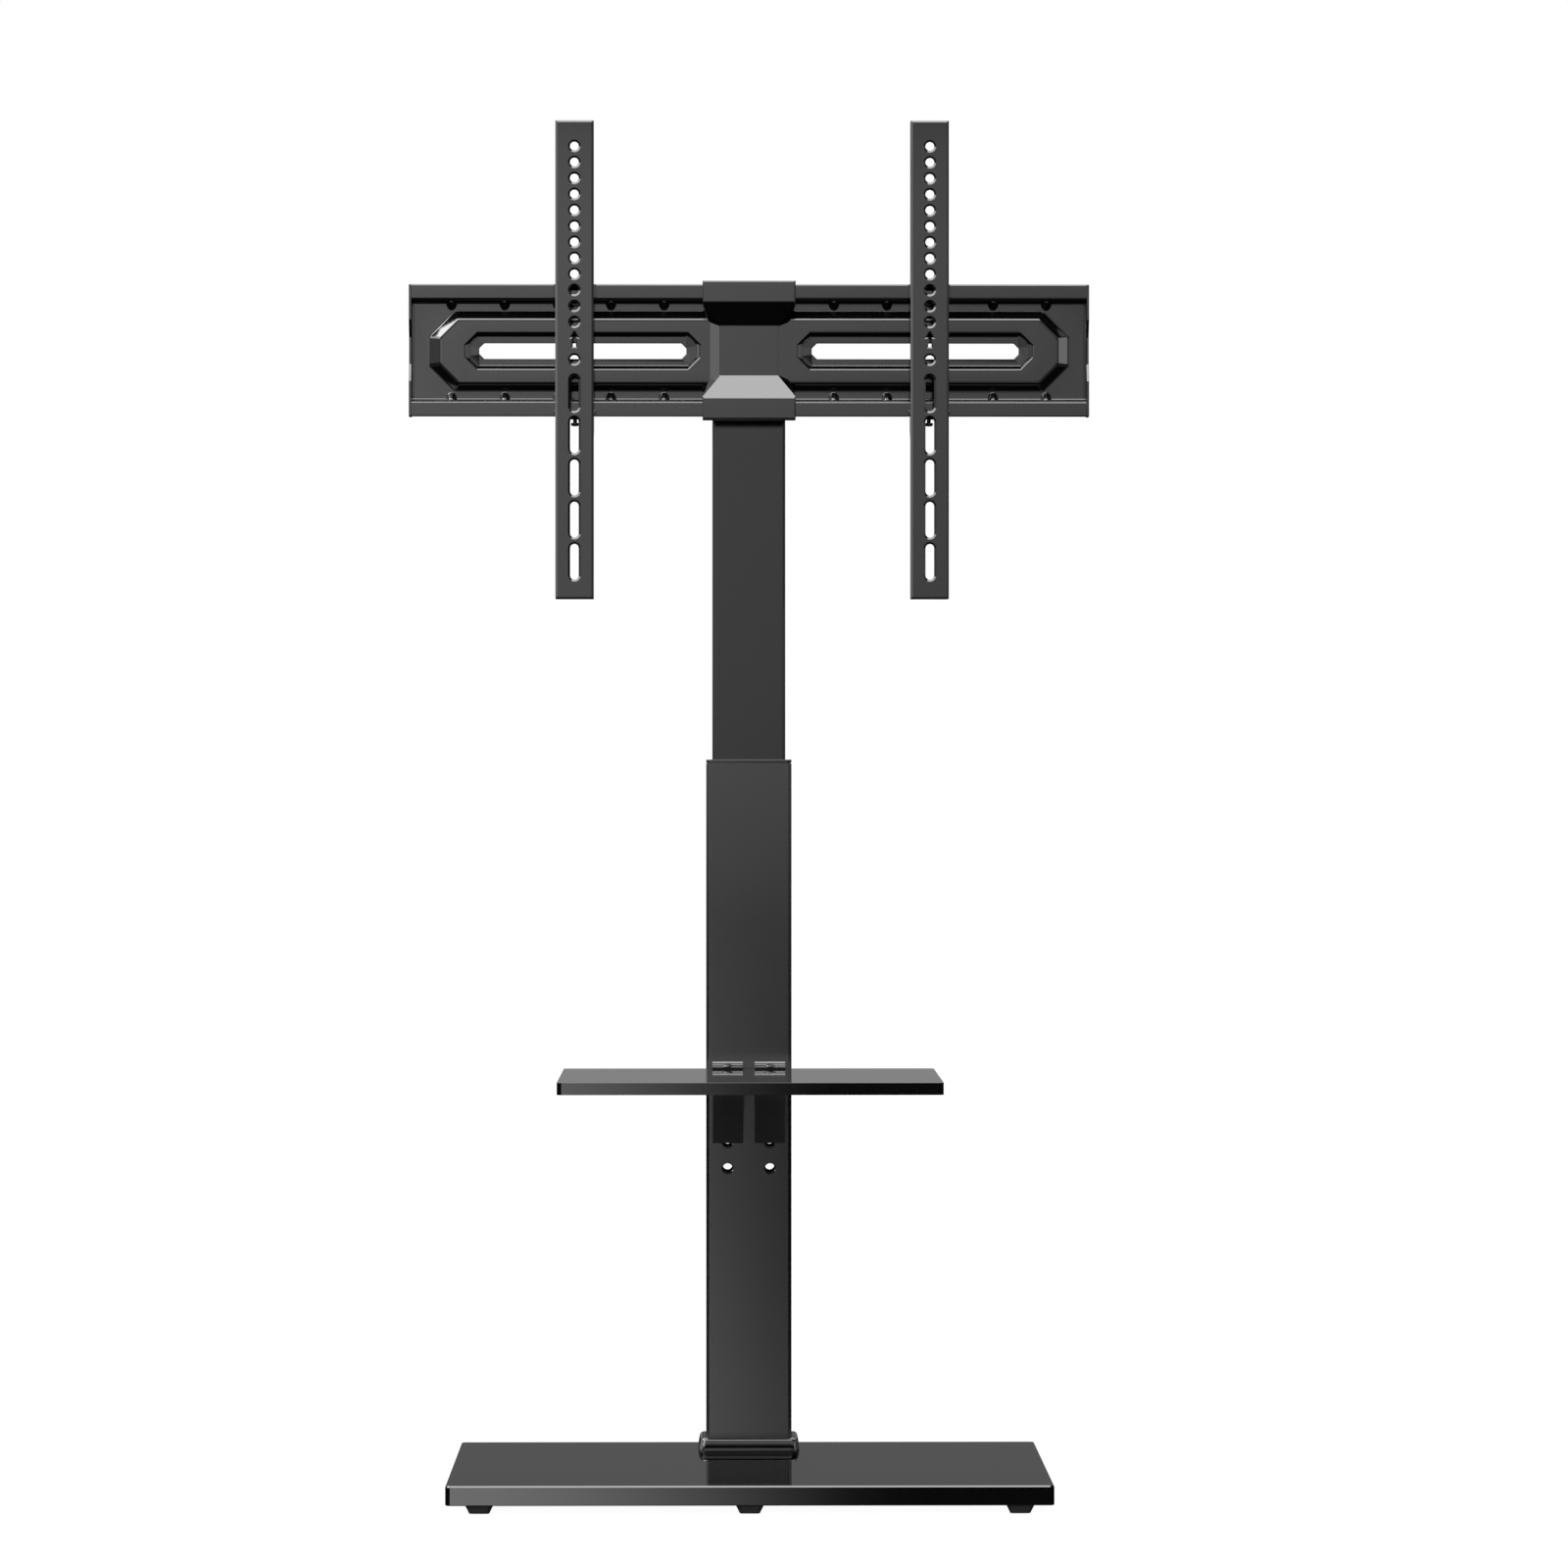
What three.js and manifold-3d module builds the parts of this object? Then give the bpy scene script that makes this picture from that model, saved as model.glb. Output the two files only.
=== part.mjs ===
// A free-standing screen stand: a flat base board on feet, a telescopic post with a shelf,
// and a swivelling wall-plate head that carries two sliding screen arms.
// Millimetres, +X right, +Y away from the viewer, +Z up. Lengths are measured from the front
// edge of the base board, and the finished stand is centred over its own footprint at the end.

import * as THREE from 'three';
import { mergeVertices } from 'three/addons/utils/BufferGeometryUtils.js';
import { ConvexGeometry } from 'three/addons/geometries/ConvexGeometry.js';
import Module from 'manifold-3d';

const wasm = await Module();
wasm.setup();

// Sizes shared by many pieces
const fitGap = 0.3;
const overrun = 6;
const weldDistance = 0.0001;
const sheet = 2;
const bendRadius = 1;
const fineSides = 16;
const coarseSides = 12;
const cornerSteps = 3;
const bendSteps = 3;

// Base board, its feet and the bolts that hold the post
const baseWidth = 600;
const baseDepth = 400;
const baseThickness = 19.7;
const baseCornerRadius = 4;
const baseEdgeBevel = 0.8;
const footHeight = 8.4;
const footTopRadius = 13.2;
const footBottomRadius = 9.4;
const footSideInset = 33.4;
const footEndInset = 15.5;
const underplateWidth = 160;
const underplateDepth = 90;
const underplateThickness = 3;
const underpocketDepth = 8;
const baseBoltSpacingX = 56;
const baseBoltSpacingY = 26;
const baseBoltDiameter = 8;
const baseBoltHeadDiameter = 14;
const baseBoltHeadHeight = 4.5;
const baseBoltTip = 1.5;

// Outer post, its welded foot and the collar around it
const postSetback = 219;
const outerPostWidth = 87;
const outerPostDepth = 60;
const postWall = 2;
const postCornerRadius = 3.5;
const outerPostTopZ = 739;
const postFootMargin = 2.5;
const postFootThickness = 5;
const collarHeight = 24;
const collarBottomMargin = 5.2;
const collarBulgeMargin = 8.2;
const collarTopMargin = 5.8;
const collarLipMargin = 4.2;
const collarCornerRadius = 8;
const collarBulgeHeightShare = 0.5;
const collarShoulderHeightShare = 0.86;
const collarHaunchHeightShare = 0.18;

// Cap and liner of the outer post
const capFlangeHeight = 3.2;
const capNeckHeight = 0.8;
const capNeckInset = 0.8;
const capSleeveLength = 15;

// Holes of the outer post for the shelf brackets
const postHoleDiameter = 10.6;
const postHoleSpacing = 43.1;
const postHolePitch = 26.5;
const postHoleRows = 4;
const lowestPostHoleZ = 326.6;

// Inner post
const innerPostWidth = 74.5;
const innerPostDepth = 47;
const innerPostCornerRadius = 3;
const innerPostBottomZ = 595;
const innerPlugFlange = 3;
const innerPlugDepth = 14;
const glideHeight = 30;
const glideFloor = 6;
const levelHoleDiameter = 7;
const levelHolePitch = 30;
const levelHoleCount = 8;

// Height locks at the back of the outer post
const lowerLockZ = 645;
const lockLevels = 2;
const lockScrewDiameter = 8;
const lockNutAcrossFlats = 15;
const lockNutHeight = 8;
const knobGap = 3;
const knobRadius = 17;
const knobLobeHeight = 2.2;
const knobLobes = 6;
const knobThickness = 14;
const knobBevel = 2;
const knobPointsPerLobe = 6;
const knobScrewEmbed = 9;

// Shelf, its brackets and clamps
const shelfWidth = 376.6;
const shelfDepth = 290;
const shelfThickness = 12;
const shelfTopZ = 428.4;
const shelfCornerRadius = 4;
const shelfEdgeBevel = 0.8;
const shelfBackGap = 3;
const shelfPadThickness = 1.5;
const shelfPadWidth = 27;
const bracketWidth = 31.2;
const bracketReach = 200;
const bracketBottomZ = 352.3;
const bracketNoseHeight = 3.2;
const bracketTopFlangeReach = 30;
const bracketSheet = 2;
const bracketCurveSteps = 8;
const bracketCurveShare = 0.62;
const clampSheet = 2.5;
const clampReach = 19;
const clampUpstand = 6;
const shelfScrewSetback = 15;
const shelfScrewDiameter = 6;
const shelfScrewHeadDiameter = 11;
const shelfScrewHeadHeight = 2.2;
const shelfScrewLength = 30;
const shelfNutAcrossFlats = 9.4;
const shelfNutHeight = 5;
const postBoltDiameter = 8;
const postBoltHeadAcrossFlats = 14;
const postBoltHeadHeight = 5;
const postNutAcrossFlats = 13;
const postNutHeight = 6.5;

// Wall plate: a pressed sheet with two lipped rails, a raised field and two long openings
const plateCentreZ = 1155.7;
const plateWidth = 686.6;
const plateHeight = 133.6;
const lipHeight = 13.6;
const lipOuterRadius = bendRadius + sheet;
const railFrontSetback = 159;
const railProjection = 15;
const fieldRise = 6;
const fieldEndInset = 20.7;
const fieldEndSlope = 10.9;
const fieldHeight = 80.4;
const fieldCorner = 25.5;
const fieldTopHeight = 63;
const fieldTopCorner = 18.4;
const openingInnerX = 63.4;
const openingEndInset = 70.7;
const openingHeight = 15.5;
const openingCorner = 5;
const dishFloorMargin = 10.1;
const dishSlope = 4.4;
const dishFloorHeight = 29.7;
const dishFloorCorner = 10.5;
const dishCorner = 12.5;
const dishDepth = 3;
const gussetRadius = 5.6;
const gussetTopRadius = 4.4;
const gussetDepth = 5.5;
const gussetFirstX = 85.8;
const gussetEndInset = 42.7;
const gussetCount = 5;
const gussetLevel = 48;
const endNotchOuter = 31;
const endNotchInner = 13.5;
const endNotchDepth = 7;

// Swivel joint between the post and the wall plate
const jointPlateSheet = 4;
const jointPlateHeight = 92;
const plateBracketWidth = 80;
const postBracketWidth = 66;
const earThickness = 5;
const postEarLevel = 25;
const earTipRadius = 14;
const earRootHalfWidth = 22;
const washerThickness = 1.5;
const washerRadius = 13;
const pinDiameter = 12;
const pinHeadAcrossFlats = 19;
const pinHeadHeight = 7.5;
const pinNutHeight = 8;
const pinTail = 3;
const headBoltSpacingX = 48;
const headBoltSpacingZ = 66;
const headBoltDiameter = 8;
const headBoltHeadAcrossFlats = 13;
const headBoltHeadHeight = 5;

// Centre cover
const coverWidth = 93.8;
const coverHeight = 140;
const coverBandHeight = 22.3;
const coverFrontSetback = 151;
const coverWall = 2.2;
const coverPanelSink = 10;
const coverPanelWidth = 59;
const coverPanelHeight = 50;
const coverWaistWidth = 82.6;
const coverWaistHeight = 60;
const coverLipReach = 14;
const coverClipWidth = 60;
const coverClipThickness = 2;
const coverClipDrop = 9;

// Screen arms
const armWidth = 38.4;
const armLength = 481;
const armDepth = 25;
const armRise = 229.7;
const armEdgeBevel = 2;
const leftArmX = -175.7;
const rightArmX = 181.6;
const armHoleDiameter = 10.6;
const armHoleRimDepth = 1;
const armHoleInset = 26.1;
const armHolePitch = 16.06;
const armHoleCount = 12;
const arrowInset = 211.3;
const arrowHeight = 18.3;
const arrowHeadHeight = 8.4;
const arrowHeadWidth = 10.8;
const arrowStemWidth = 4.4;
const lowHoleInset = 240.5;
const slotTopInset = 255.95;
const slotEndInset = 18.79;
const slotCount = 5;
const slotWidth = 9.6;
const slotBridge = 5.44;
const hookWidth = 42.6;
const hookFrontDrop = 13.5;
const hookBackDrop = 9;
const lowPadInset = 2.1;
const lowPadHeight = 4;
const earReach = 13;
const earHeight = 24;
const earSlope = 12;
const armScrewDiameter = 4;
const armScrewHeadDiameter = 8.4;
const armScrewHeadHeight = 3.2;
const armScrewDrop = 5;

// Places that follow from the sizes
const baseTopZ = footHeight + baseThickness;
const postFrontY = postSetback;
const postCentreY = postFrontY + outerPostDepth / 2;
const postBackY = postFrontY + outerPostDepth;
const postFootTopZ = baseTopZ + postFootThickness;
const capTopZ = outerPostTopZ + capNeckHeight + capFlangeHeight;
const innerPostFrontY = postCentreY - innerPostDepth / 2;
const innerPostBackY = postCentreY + innerPostDepth / 2;
const innerPostTopZ = plateCentreZ + jointPlateHeight / 2;
const postHoleX = postHoleSpacing / 2;
const shelfBottomZ = shelfTopZ - shelfThickness;
const shelfBackY = postFrontY - shelfBackGap;
const shelfFrontY = shelfBackY - shelfDepth;
const bracketTopZ = shelfBottomZ - shelfPadThickness;
const shelfScrewY = postFrontY - shelfScrewSetback;
const plateTop = plateHeight / 2;
const lipFrontY = railFrontSetback;
const lipBackY = lipFrontY + sheet;
const webFrontY = lipFrontY + railProjection;
const webBackY = webFrontY + sheet;
const fieldFrontY = webFrontY - fieldRise;
const fieldLength = plateWidth - 2 * fieldEndInset;
const fieldTopLength = fieldLength - 2 * fieldEndSlope;
const openingOuterX = plateWidth / 2 - openingEndInset;
const openingCentreX = (openingInnerX + openingOuterX) / 2;
const openingLength = openingOuterX - openingInnerX;
const dishFloorLength = openingLength + 2 * dishFloorMargin;
const dishLength = dishFloorLength + 2 * dishSlope;
const dishHeight = dishFloorHeight + 2 * dishSlope;
const gussetPitch = (plateWidth / 2 - gussetEndInset - gussetFirstX) / (gussetCount - 1);
const flangeLevel = plateTop - lipHeight - lipOuterRadius + sheet / 2;
const plateBracketBackY = webBackY + jointPlateSheet;
const postBracketFrontY = innerPostFrontY - jointPlateSheet;
const pinY = (plateBracketBackY + postBracketFrontY) / 2;
const plateEarLevel = postEarLevel + washerThickness + fitGap;
const armFrontY = lipFrontY - armDepth;
const hookFrontY = lipFrontY - fitGap - sheet;
const armTopZ = plateCentreZ + armRise;
const slotRowLength = armLength - slotTopInset - slotEndInset;
const slotPitch = (slotRowLength + slotBridge) / slotCount;
const slotLength = slotPitch - slotBridge;
const standCentreY = (shelfFrontY + baseDepth) / 2;

const finish = {
  gloss: { color: 0x0b0b0c, roughness: 0.08, metalness: 0 },
  steel: { color: 0x2c2c2e, roughness: 0.42, metalness: 0.35 },
  plastic: { color: 0x222224, roughness: 0.45, metalness: 0 },
  shiny: { color: 0x101012, roughness: 0.2, metalness: 0 },
  rubber: { color: 0x0e0e0e, roughness: 0.8, metalness: 0 },
  zinc: { color: 0x35363a, roughness: 0.35, metalness: 0.8 },
  nylon: { color: 0xb9b7ae, roughness: 0.5, metalness: 0 },
};

const stand = new THREE.Group();

// Solids from geometries, and back

function solidOf(geometry) {
  geometry.deleteAttribute('normal');
  geometry.deleteAttribute('uv');
  const welded = mergeVertices(geometry, weldDistance);
  const corners = welded.index.array;
  const kept = [];
  for (let i = 0; i < corners.length; i += 3) {
    const [a, b, c] = corners.slice(i, i + 3);
    if (a !== b && b !== c && c !== a) kept.push(a, b, c);
  }
  return new wasm.Manifold(new wasm.Mesh({
    numProp: 3,
    vertProperties: new Float32Array(welded.attributes.position.array),
    triVerts: new Uint32Array(kept),
  }));
}

function geometryOf(solid) {
  const { vertProperties, triVerts } = solid.getMesh();
  const geometry = new THREE.BufferGeometry();
  geometry.setAttribute('position', new THREE.BufferAttribute(vertProperties, 3));
  geometry.setIndex(new THREE.BufferAttribute(triVerts, 1));
  geometry.computeVertexNormals();
  return geometry;
}

function join(first, ...others) {
  return others.reduce((whole, other) => whole.add(other), first);
}

function cut(first, ...others) {
  return others.reduce((whole, other) => whole.subtract(other), first);
}

function addPiece(name, solid, look) {
  const mesh = new THREE.Mesh(geometryOf(solid), new THREE.MeshStandardMaterial(look));
  mesh.name = name;
  stand.add(mesh);
}

// Basic shapes

function block(x, y, z) {
  const geometry = new THREE.BoxGeometry(x[1] - x[0], y[1] - y[0], z[1] - z[0]);
  geometry.translate((x[0] + x[1]) / 2, (y[0] + y[1]) / 2, (z[0] + z[1]) / 2);
  return solidOf(geometry);
}

function outlineOf(points) {
  return new THREE.Shape(points.map(([u, v]) => new THREE.Vector2(u, v)));
}

function roundedRectangle(width, depth, radius, centre = [0, 0]) {
  const [u, v] = centre;
  const a = width / 2 - radius;
  const b = depth / 2 - radius;
  const quarter = Math.PI / 2;
  const shape = new THREE.Shape();
  shape.absarc(u + a, v - b, radius, -quarter, 0);
  shape.absarc(u + a, v + b, radius, 0, quarter);
  shape.absarc(u - a, v + b, radius, quarter, 2 * quarter);
  shape.absarc(u - a, v - b, radius, 2 * quarter, 3 * quarter);
  shape.closePath();
  return shape;
}

function extruded(shape, length, bevel = 0) {
  return new THREE.ExtrudeGeometry(shape, {
    depth: length - 2 * bevel,
    curveSegments: cornerSteps,
    bevelEnabled: bevel > 0,
    bevelThickness: bevel,
    bevelSize: bevel,
    bevelOffset: -bevel,
    bevelSegments: 1,
  }).translate(0, 0, bevel);
}

function prismZ(shape, z, bevel = 0) {
  return solidOf(extruded(shape, z[1] - z[0], bevel).translate(0, 0, z[0]));
}

const xAxis = new THREE.Vector3(1, 0, 0);
const yAxis = new THREE.Vector3(0, 1, 0);
const zAxis = new THREE.Vector3(0, 0, 1);

// The shape is drawn in Y and Z, and runs along X
function prismX(shape, x) {
  const turn = new THREE.Matrix4().makeBasis(yAxis, zAxis, xAxis);
  return solidOf(extruded(shape, x[1] - x[0]).applyMatrix4(turn).translate(x[0], 0, 0));
}

// The shape is drawn in X and Z, and runs along Y; a bevel goes on both ends
function prismY(shape, y, bevel = 0) {
  const turn = new THREE.Matrix4().makeBasis(xAxis, zAxis, yAxis.clone().negate());
  return solidOf(extruded(shape, y[1] - y[0], bevel).applyMatrix4(turn).translate(0, y[1], 0));
}

function rodZ(radius, x, y, z, sides = coarseSides, topRadius = radius) {
  const geometry = new THREE.CylinderGeometry(topRadius, radius, z[1] - z[0], sides);
  geometry.rotateX(Math.PI / 2).translate(x, y, (z[0] + z[1]) / 2);
  return solidOf(geometry);
}

function rodY(radius, x, y, z, sides = coarseSides, frontRadius = radius) {
  const geometry = new THREE.CylinderGeometry(radius, frontRadius, y[1] - y[0], sides);
  geometry.translate(x, (y[0] + y[1]) / 2, z);
  return solidOf(geometry);
}

function hexRadius(acrossFlats) {
  return acrossFlats / Math.sqrt(3);
}

function hexZ(acrossFlats, x, y, z) {
  const radius = hexRadius(acrossFlats);
  const geometry = new THREE.CylinderGeometry(radius, radius, z[1] - z[0], 6);
  geometry.rotateY(Math.PI / 6).rotateX(Math.PI / 2).translate(x, y, (z[0] + z[1]) / 2);
  return solidOf(geometry);
}

function hexY(acrossFlats, x, y, z) {
  const radius = hexRadius(acrossFlats);
  const geometry = new THREE.CylinderGeometry(radius, radius, y[1] - y[0], 6);
  geometry.rotateY(Math.PI / 6).translate(x, (y[0] + y[1]) / 2, z);
  return solidOf(geometry);
}

// A convex solid around points [x, y, z]
function hull(points) {
  return solidOf(new ConvexGeometry(points.map((p) => new THREE.Vector3(...p))));
}

// The outline of a bent sheet whose middle line runs through the points
function bentSheet(points, thickness, insideRadius) {
  const half = thickness / 2;
  const radius = insideRadius + half;
  const path = points.map(([u, v]) => new THREE.Vector2(u, v));
  const left = [];
  const right = [];
  path.forEach((point, i) => {
    const before = point.clone().sub(path[i - 1] ?? point).normalize();
    const after = (path[i + 1] ?? point).clone().sub(point).normalize();
    if (i === 0 || i === path.length - 1) {
      const along = i === 0 ? after : before;
      const across = new THREE.Vector2(-along.y, along.x).multiplyScalar(half);
      left.push(point.clone().add(across));
      right.push(point.clone().sub(across));
      return;
    }
    const turn = Math.atan2(before.cross(after), before.dot(after));
    const side = Math.sign(turn);
    const start = point.clone().addScaledVector(before, -radius * Math.tan(Math.abs(turn) / 2));
    const centre = start.clone().addScaledVector(new THREE.Vector2(-before.y, before.x), side * radius);
    const first = Math.atan2(start.y - centre.y, start.x - centre.x);
    for (let k = 0; k <= bendSteps; k += 1) {
      const angle = first + (turn * k) / bendSteps;
      const ray = new THREE.Vector2(Math.cos(angle), Math.sin(angle));
      left.push(centre.clone().addScaledVector(ray, radius - side * half));
      right.push(centre.clone().addScaledVector(ray, radius + side * half));
    }
  });
  return new THREE.Shape([...left, ...right.reverse()]);
}

// Base

const bothSides = [-1, 1];
const baseBoltPlaces = bothSides.flatMap((side) => bothSides.map((end) => [
  side * baseBoltSpacingX / 2,
  postCentreY + end * baseBoltSpacingY / 2,
]));

function boltShafts(places, diameter, z) {
  return places.map(([x, y]) => rodZ(diameter / 2, x, y, z));
}

function addBase() {
  const outline = roundedRectangle(baseWidth, baseDepth, baseCornerRadius, [0, baseDepth / 2]);
  const board = prismZ(outline, [footHeight, baseTopZ], baseEdgeBevel);
  const pocketTopZ = footHeight + underpocketDepth;
  const pocketX = underplateWidth / 2 + fitGap;
  const pocketY = underplateDepth / 2 + fitGap;
  const pocket = block(
    [-pocketX, pocketX],
    [postCentreY - pocketY, postCentreY + pocketY],
    [footHeight - overrun, pocketTopZ],
  );
  const boltHoles = boltShafts(
    baseBoltPlaces,
    baseBoltDiameter + 2 * fitGap,
    [footHeight, baseTopZ + overrun],
  );
  addPiece('base_board', cut(board, pocket, ...boltHoles), finish.gloss);

  const plateBottomZ = pocketTopZ - underplateThickness;
  const plate = block(
    [-underplateWidth / 2, underplateWidth / 2],
    [postCentreY - underplateDepth / 2, postCentreY + underplateDepth / 2],
    [plateBottomZ, pocketTopZ],
  );
  const plateHoles = boltShafts(
    baseBoltPlaces,
    baseBoltDiameter + 2 * fitGap,
    [plateBottomZ - overrun, pocketTopZ + overrun],
  );
  addPiece('base_underplate', cut(plate, ...plateHoles), finish.steel);

  baseBoltPlaces.forEach(([x, y], i) => {
    const head = rodZ(baseBoltHeadDiameter / 2, x, y, [plateBottomZ - baseBoltHeadHeight, plateBottomZ]);
    const shaft = rodZ(baseBoltDiameter / 2, x, y, [plateBottomZ, postFootTopZ + baseBoltTip]);
    addPiece(`base_bolt_${i + 1}`, join(head, shaft), finish.zinc);
  });
}

function addFeet() {
  const columns = { left: -1, centre: 0, right: 1 };
  const rows = { front: footEndInset, back: baseDepth - footEndInset };
  for (const [row, y] of Object.entries(rows)) {
    for (const [column, side] of Object.entries(columns)) {
      const x = side * (baseWidth / 2 - footSideInset);
      const foot = rodZ(footBottomRadius, x, y, [0, footHeight], fineSides, footTopRadius);
      addPiece(`foot_${row}_${column}`, foot, finish.rubber);
    }
  }
}

// Posts

function postOutline(width, depth, radius) {
  return roundedRectangle(width, depth, radius, [0, postCentreY]);
}

function tubeSolid(width, depth, radius, z) {
  const outside = prismZ(postOutline(width, depth, radius), z);
  const inside = postOutline(width - 2 * postWall, depth - 2 * postWall, radius - postWall);
  return cut(outside, prismZ(inside, [z[0] - overrun, z[1] + overrun]));
}

const lockHeights = [lowerLockZ, lowerLockZ + lockLevels * levelHolePitch];

function addOuterPost() {
  const tube = tubeSolid(outerPostWidth, outerPostDepth, postCornerRadius, [baseTopZ, outerPostTopZ]);
  const footOutline = postOutline(
    outerPostWidth + 2 * postFootMargin,
    outerPostDepth + 2 * postFootMargin,
    postCornerRadius,
  );
  const foot = prismZ(footOutline, [baseTopZ, postFootTopZ]);
  const boltHoles = boltShafts(
    baseBoltPlaces,
    baseBoltDiameter + 2 * fitGap,
    [baseTopZ - overrun, postFootTopZ + overrun],
  );
  const shelfHoles = [];
  for (let row = 0; row < postHoleRows; row += 1) {
    for (const side of bothSides) {
      const through = [postFrontY - overrun, postBackY + overrun];
      const z = lowestPostHoleZ + row * postHolePitch;
      shelfHoles.push(rodY(postHoleDiameter / 2, side * postHoleX, through, z, fineSides));
    }
  }
  const lockHoles = lockHeights.map((z) => rodY(
    lockScrewDiameter / 2 + fitGap,
    0,
    [postBackY - postWall - overrun, postBackY + overrun],
    z,
  ));
  addPiece('outer_post', cut(join(tube, foot), ...boltHoles, ...shelfHoles, ...lockHoles), finish.steel);
}

function collarLevel(z, margin) {
  const outline = postOutline(
    outerPostWidth + 2 * margin,
    outerPostDepth + 2 * margin,
    collarCornerRadius,
  );
  return outline.getPoints(cornerSteps).map((p) => [p.x, p.y, z]);
}

function addCollar() {
  const haunchMargin = (collarBottomMargin + collarBulgeMargin) / 2;
  const outside = hull([
    ...collarLevel(baseTopZ, collarBottomMargin),
    ...collarLevel(baseTopZ + collarHaunchHeightShare * collarHeight, haunchMargin),
    ...collarLevel(baseTopZ + collarBulgeHeightShare * collarHeight, collarBulgeMargin),
    ...collarLevel(baseTopZ + collarShoulderHeightShare * collarHeight, collarTopMargin),
    ...collarLevel(baseTopZ + collarHeight, collarLipMargin),
  ]);
  const bore = prismZ(
    postOutline(outerPostWidth + 2 * fitGap, outerPostDepth + 2 * fitGap, postCornerRadius),
    [baseTopZ - overrun, baseTopZ + collarHeight + overrun],
  );
  const footRoom = prismZ(
    postOutline(
      outerPostWidth + 2 * postFootMargin + 2 * fitGap,
      outerPostDepth + 2 * postFootMargin + 2 * fitGap,
      postCornerRadius,
    ),
    [baseTopZ - overrun, postFootTopZ + fitGap],
  );
  addPiece('collar', cut(outside, bore, footRoom), finish.shiny);
}

function addPostCap() {
  const neckTopZ = outerPostTopZ + capNeckHeight;
  const flange = prismZ(
    postOutline(outerPostWidth, outerPostDepth, postCornerRadius),
    [neckTopZ, capTopZ],
  );
  const neck = prismZ(
    postOutline(outerPostWidth - 2 * capNeckInset, outerPostDepth - 2 * capNeckInset, postCornerRadius),
    [outerPostTopZ, neckTopZ],
  );
  const sleeve = prismZ(
    postOutline(
      outerPostWidth - 2 * postWall - 2 * fitGap,
      outerPostDepth - 2 * postWall - 2 * fitGap,
      postCornerRadius - postWall,
    ),
    [outerPostTopZ - capSleeveLength, outerPostTopZ],
  );
  const bore = prismZ(
    postOutline(innerPostWidth + 2 * fitGap, innerPostDepth + 2 * fitGap, innerPostCornerRadius),
    [outerPostTopZ - capSleeveLength - overrun, capTopZ + overrun],
  );
  addPiece('post_cap', cut(join(flange, neck, sleeve), bore), finish.plastic);
}

function addInnerPost() {
  const tube = tubeSolid(
    innerPostWidth,
    innerPostDepth,
    innerPostCornerRadius,
    [innerPostBottomZ, innerPostTopZ],
  );
  const levelHoles = Array.from({ length: levelHoleCount }, (_, i) => rodY(
    levelHoleDiameter / 2,
    0,
    [innerPostBackY - postWall - overrun, innerPostBackY + overrun],
    lowerLockZ + i * levelHolePitch,
  ));
  const boltHoles = headBoltPlaces.map(([x, z]) => rodY(
    headBoltDiameter / 2 + fitGap,
    x,
    [innerPostFrontY - overrun, innerPostBackY + overrun],
    z,
  ));
  addPiece('inner_post', cut(tube, ...levelHoles, ...boltHoles), finish.steel);
}

function addInnerPlugs() {
  const glideBottomZ = innerPostBottomZ - glideFloor;
  const glideOutside = prismZ(
    postOutline(
      outerPostWidth - 2 * postWall - 2 * fitGap,
      outerPostDepth - 2 * postWall - 2 * fitGap,
      postCornerRadius - postWall,
    ),
    [glideBottomZ, glideBottomZ + glideHeight],
  );
  const seat = prismZ(
    postOutline(innerPostWidth + 2 * fitGap, innerPostDepth + 2 * fitGap, innerPostCornerRadius),
    [innerPostBottomZ, glideBottomZ + glideHeight + overrun],
  );
  addPiece('inner_glide', cut(glideOutside, seat), finish.nylon);

  const flange = prismZ(
    postOutline(innerPostWidth, innerPostDepth, innerPostCornerRadius),
    [innerPostTopZ, innerPostTopZ + innerPlugFlange],
  );
  const plug = prismZ(
    postOutline(
      innerPostWidth - 2 * postWall - 2 * fitGap,
      innerPostDepth - 2 * postWall - 2 * fitGap,
      innerPostCornerRadius - postWall,
    ),
    [innerPostTopZ - innerPlugDepth + innerPlugFlange, innerPostTopZ],
  );
  const boltRoom = block(
    [-innerPostWidth, innerPostWidth],
    [innerPostFrontY, innerPostBackY],
    [innerPostTopZ - innerPlugDepth - overrun, headBoltTopZ],
  );
  addPiece('inner_cap', cut(join(flange, plug), boltRoom), finish.plastic);
}

// Height locks

function knobOutline(z) {
  const count = knobLobes * knobPointsPerLobe;
  const points = Array.from({ length: count }, (_, i) => {
    const angle = (i / count) * 2 * Math.PI;
    const reach = knobRadius + knobLobeHeight * Math.cos(knobLobes * angle);
    return [reach * Math.cos(angle), z + reach * Math.sin(angle)];
  });
  return outlineOf(points);
}

function addHeightLocks() {
  const names = ['lower', 'upper'];
  const nutBackY = postBackY + lockNutHeight;
  const knobFrontY = nutBackY + knobGap;
  const knobBackY = knobFrontY + knobThickness;
  const screwTipY = innerPostBackY + fitGap;
  lockHeights.forEach((z, i) => {
    const nut = hexY(lockNutAcrossFlats, 0, [postBackY, nutBackY], z);
    const thread = rodY(lockScrewDiameter / 2 + fitGap, 0, [postBackY - overrun, nutBackY + overrun], z);
    addPiece(`lock_nut_${names[i]}`, cut(nut, thread), finish.steel);

    const screw = rodY(lockScrewDiameter / 2, 0, [screwTipY, knobFrontY + knobScrewEmbed], z);
    addPiece(`lock_screw_${names[i]}`, screw, finish.zinc);

    const knob = prismY(knobOutline(z), [knobFrontY, knobBackY], knobBevel);
    const boreY = [knobFrontY - overrun, knobFrontY + knobScrewEmbed];
    const bore = rodY(lockScrewDiameter / 2 + fitGap, 0, boreY, z);
    addPiece(`lock_knob_${names[i]}`, cut(knob, bore), finish.plastic);
  });
}

// Shelf

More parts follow.
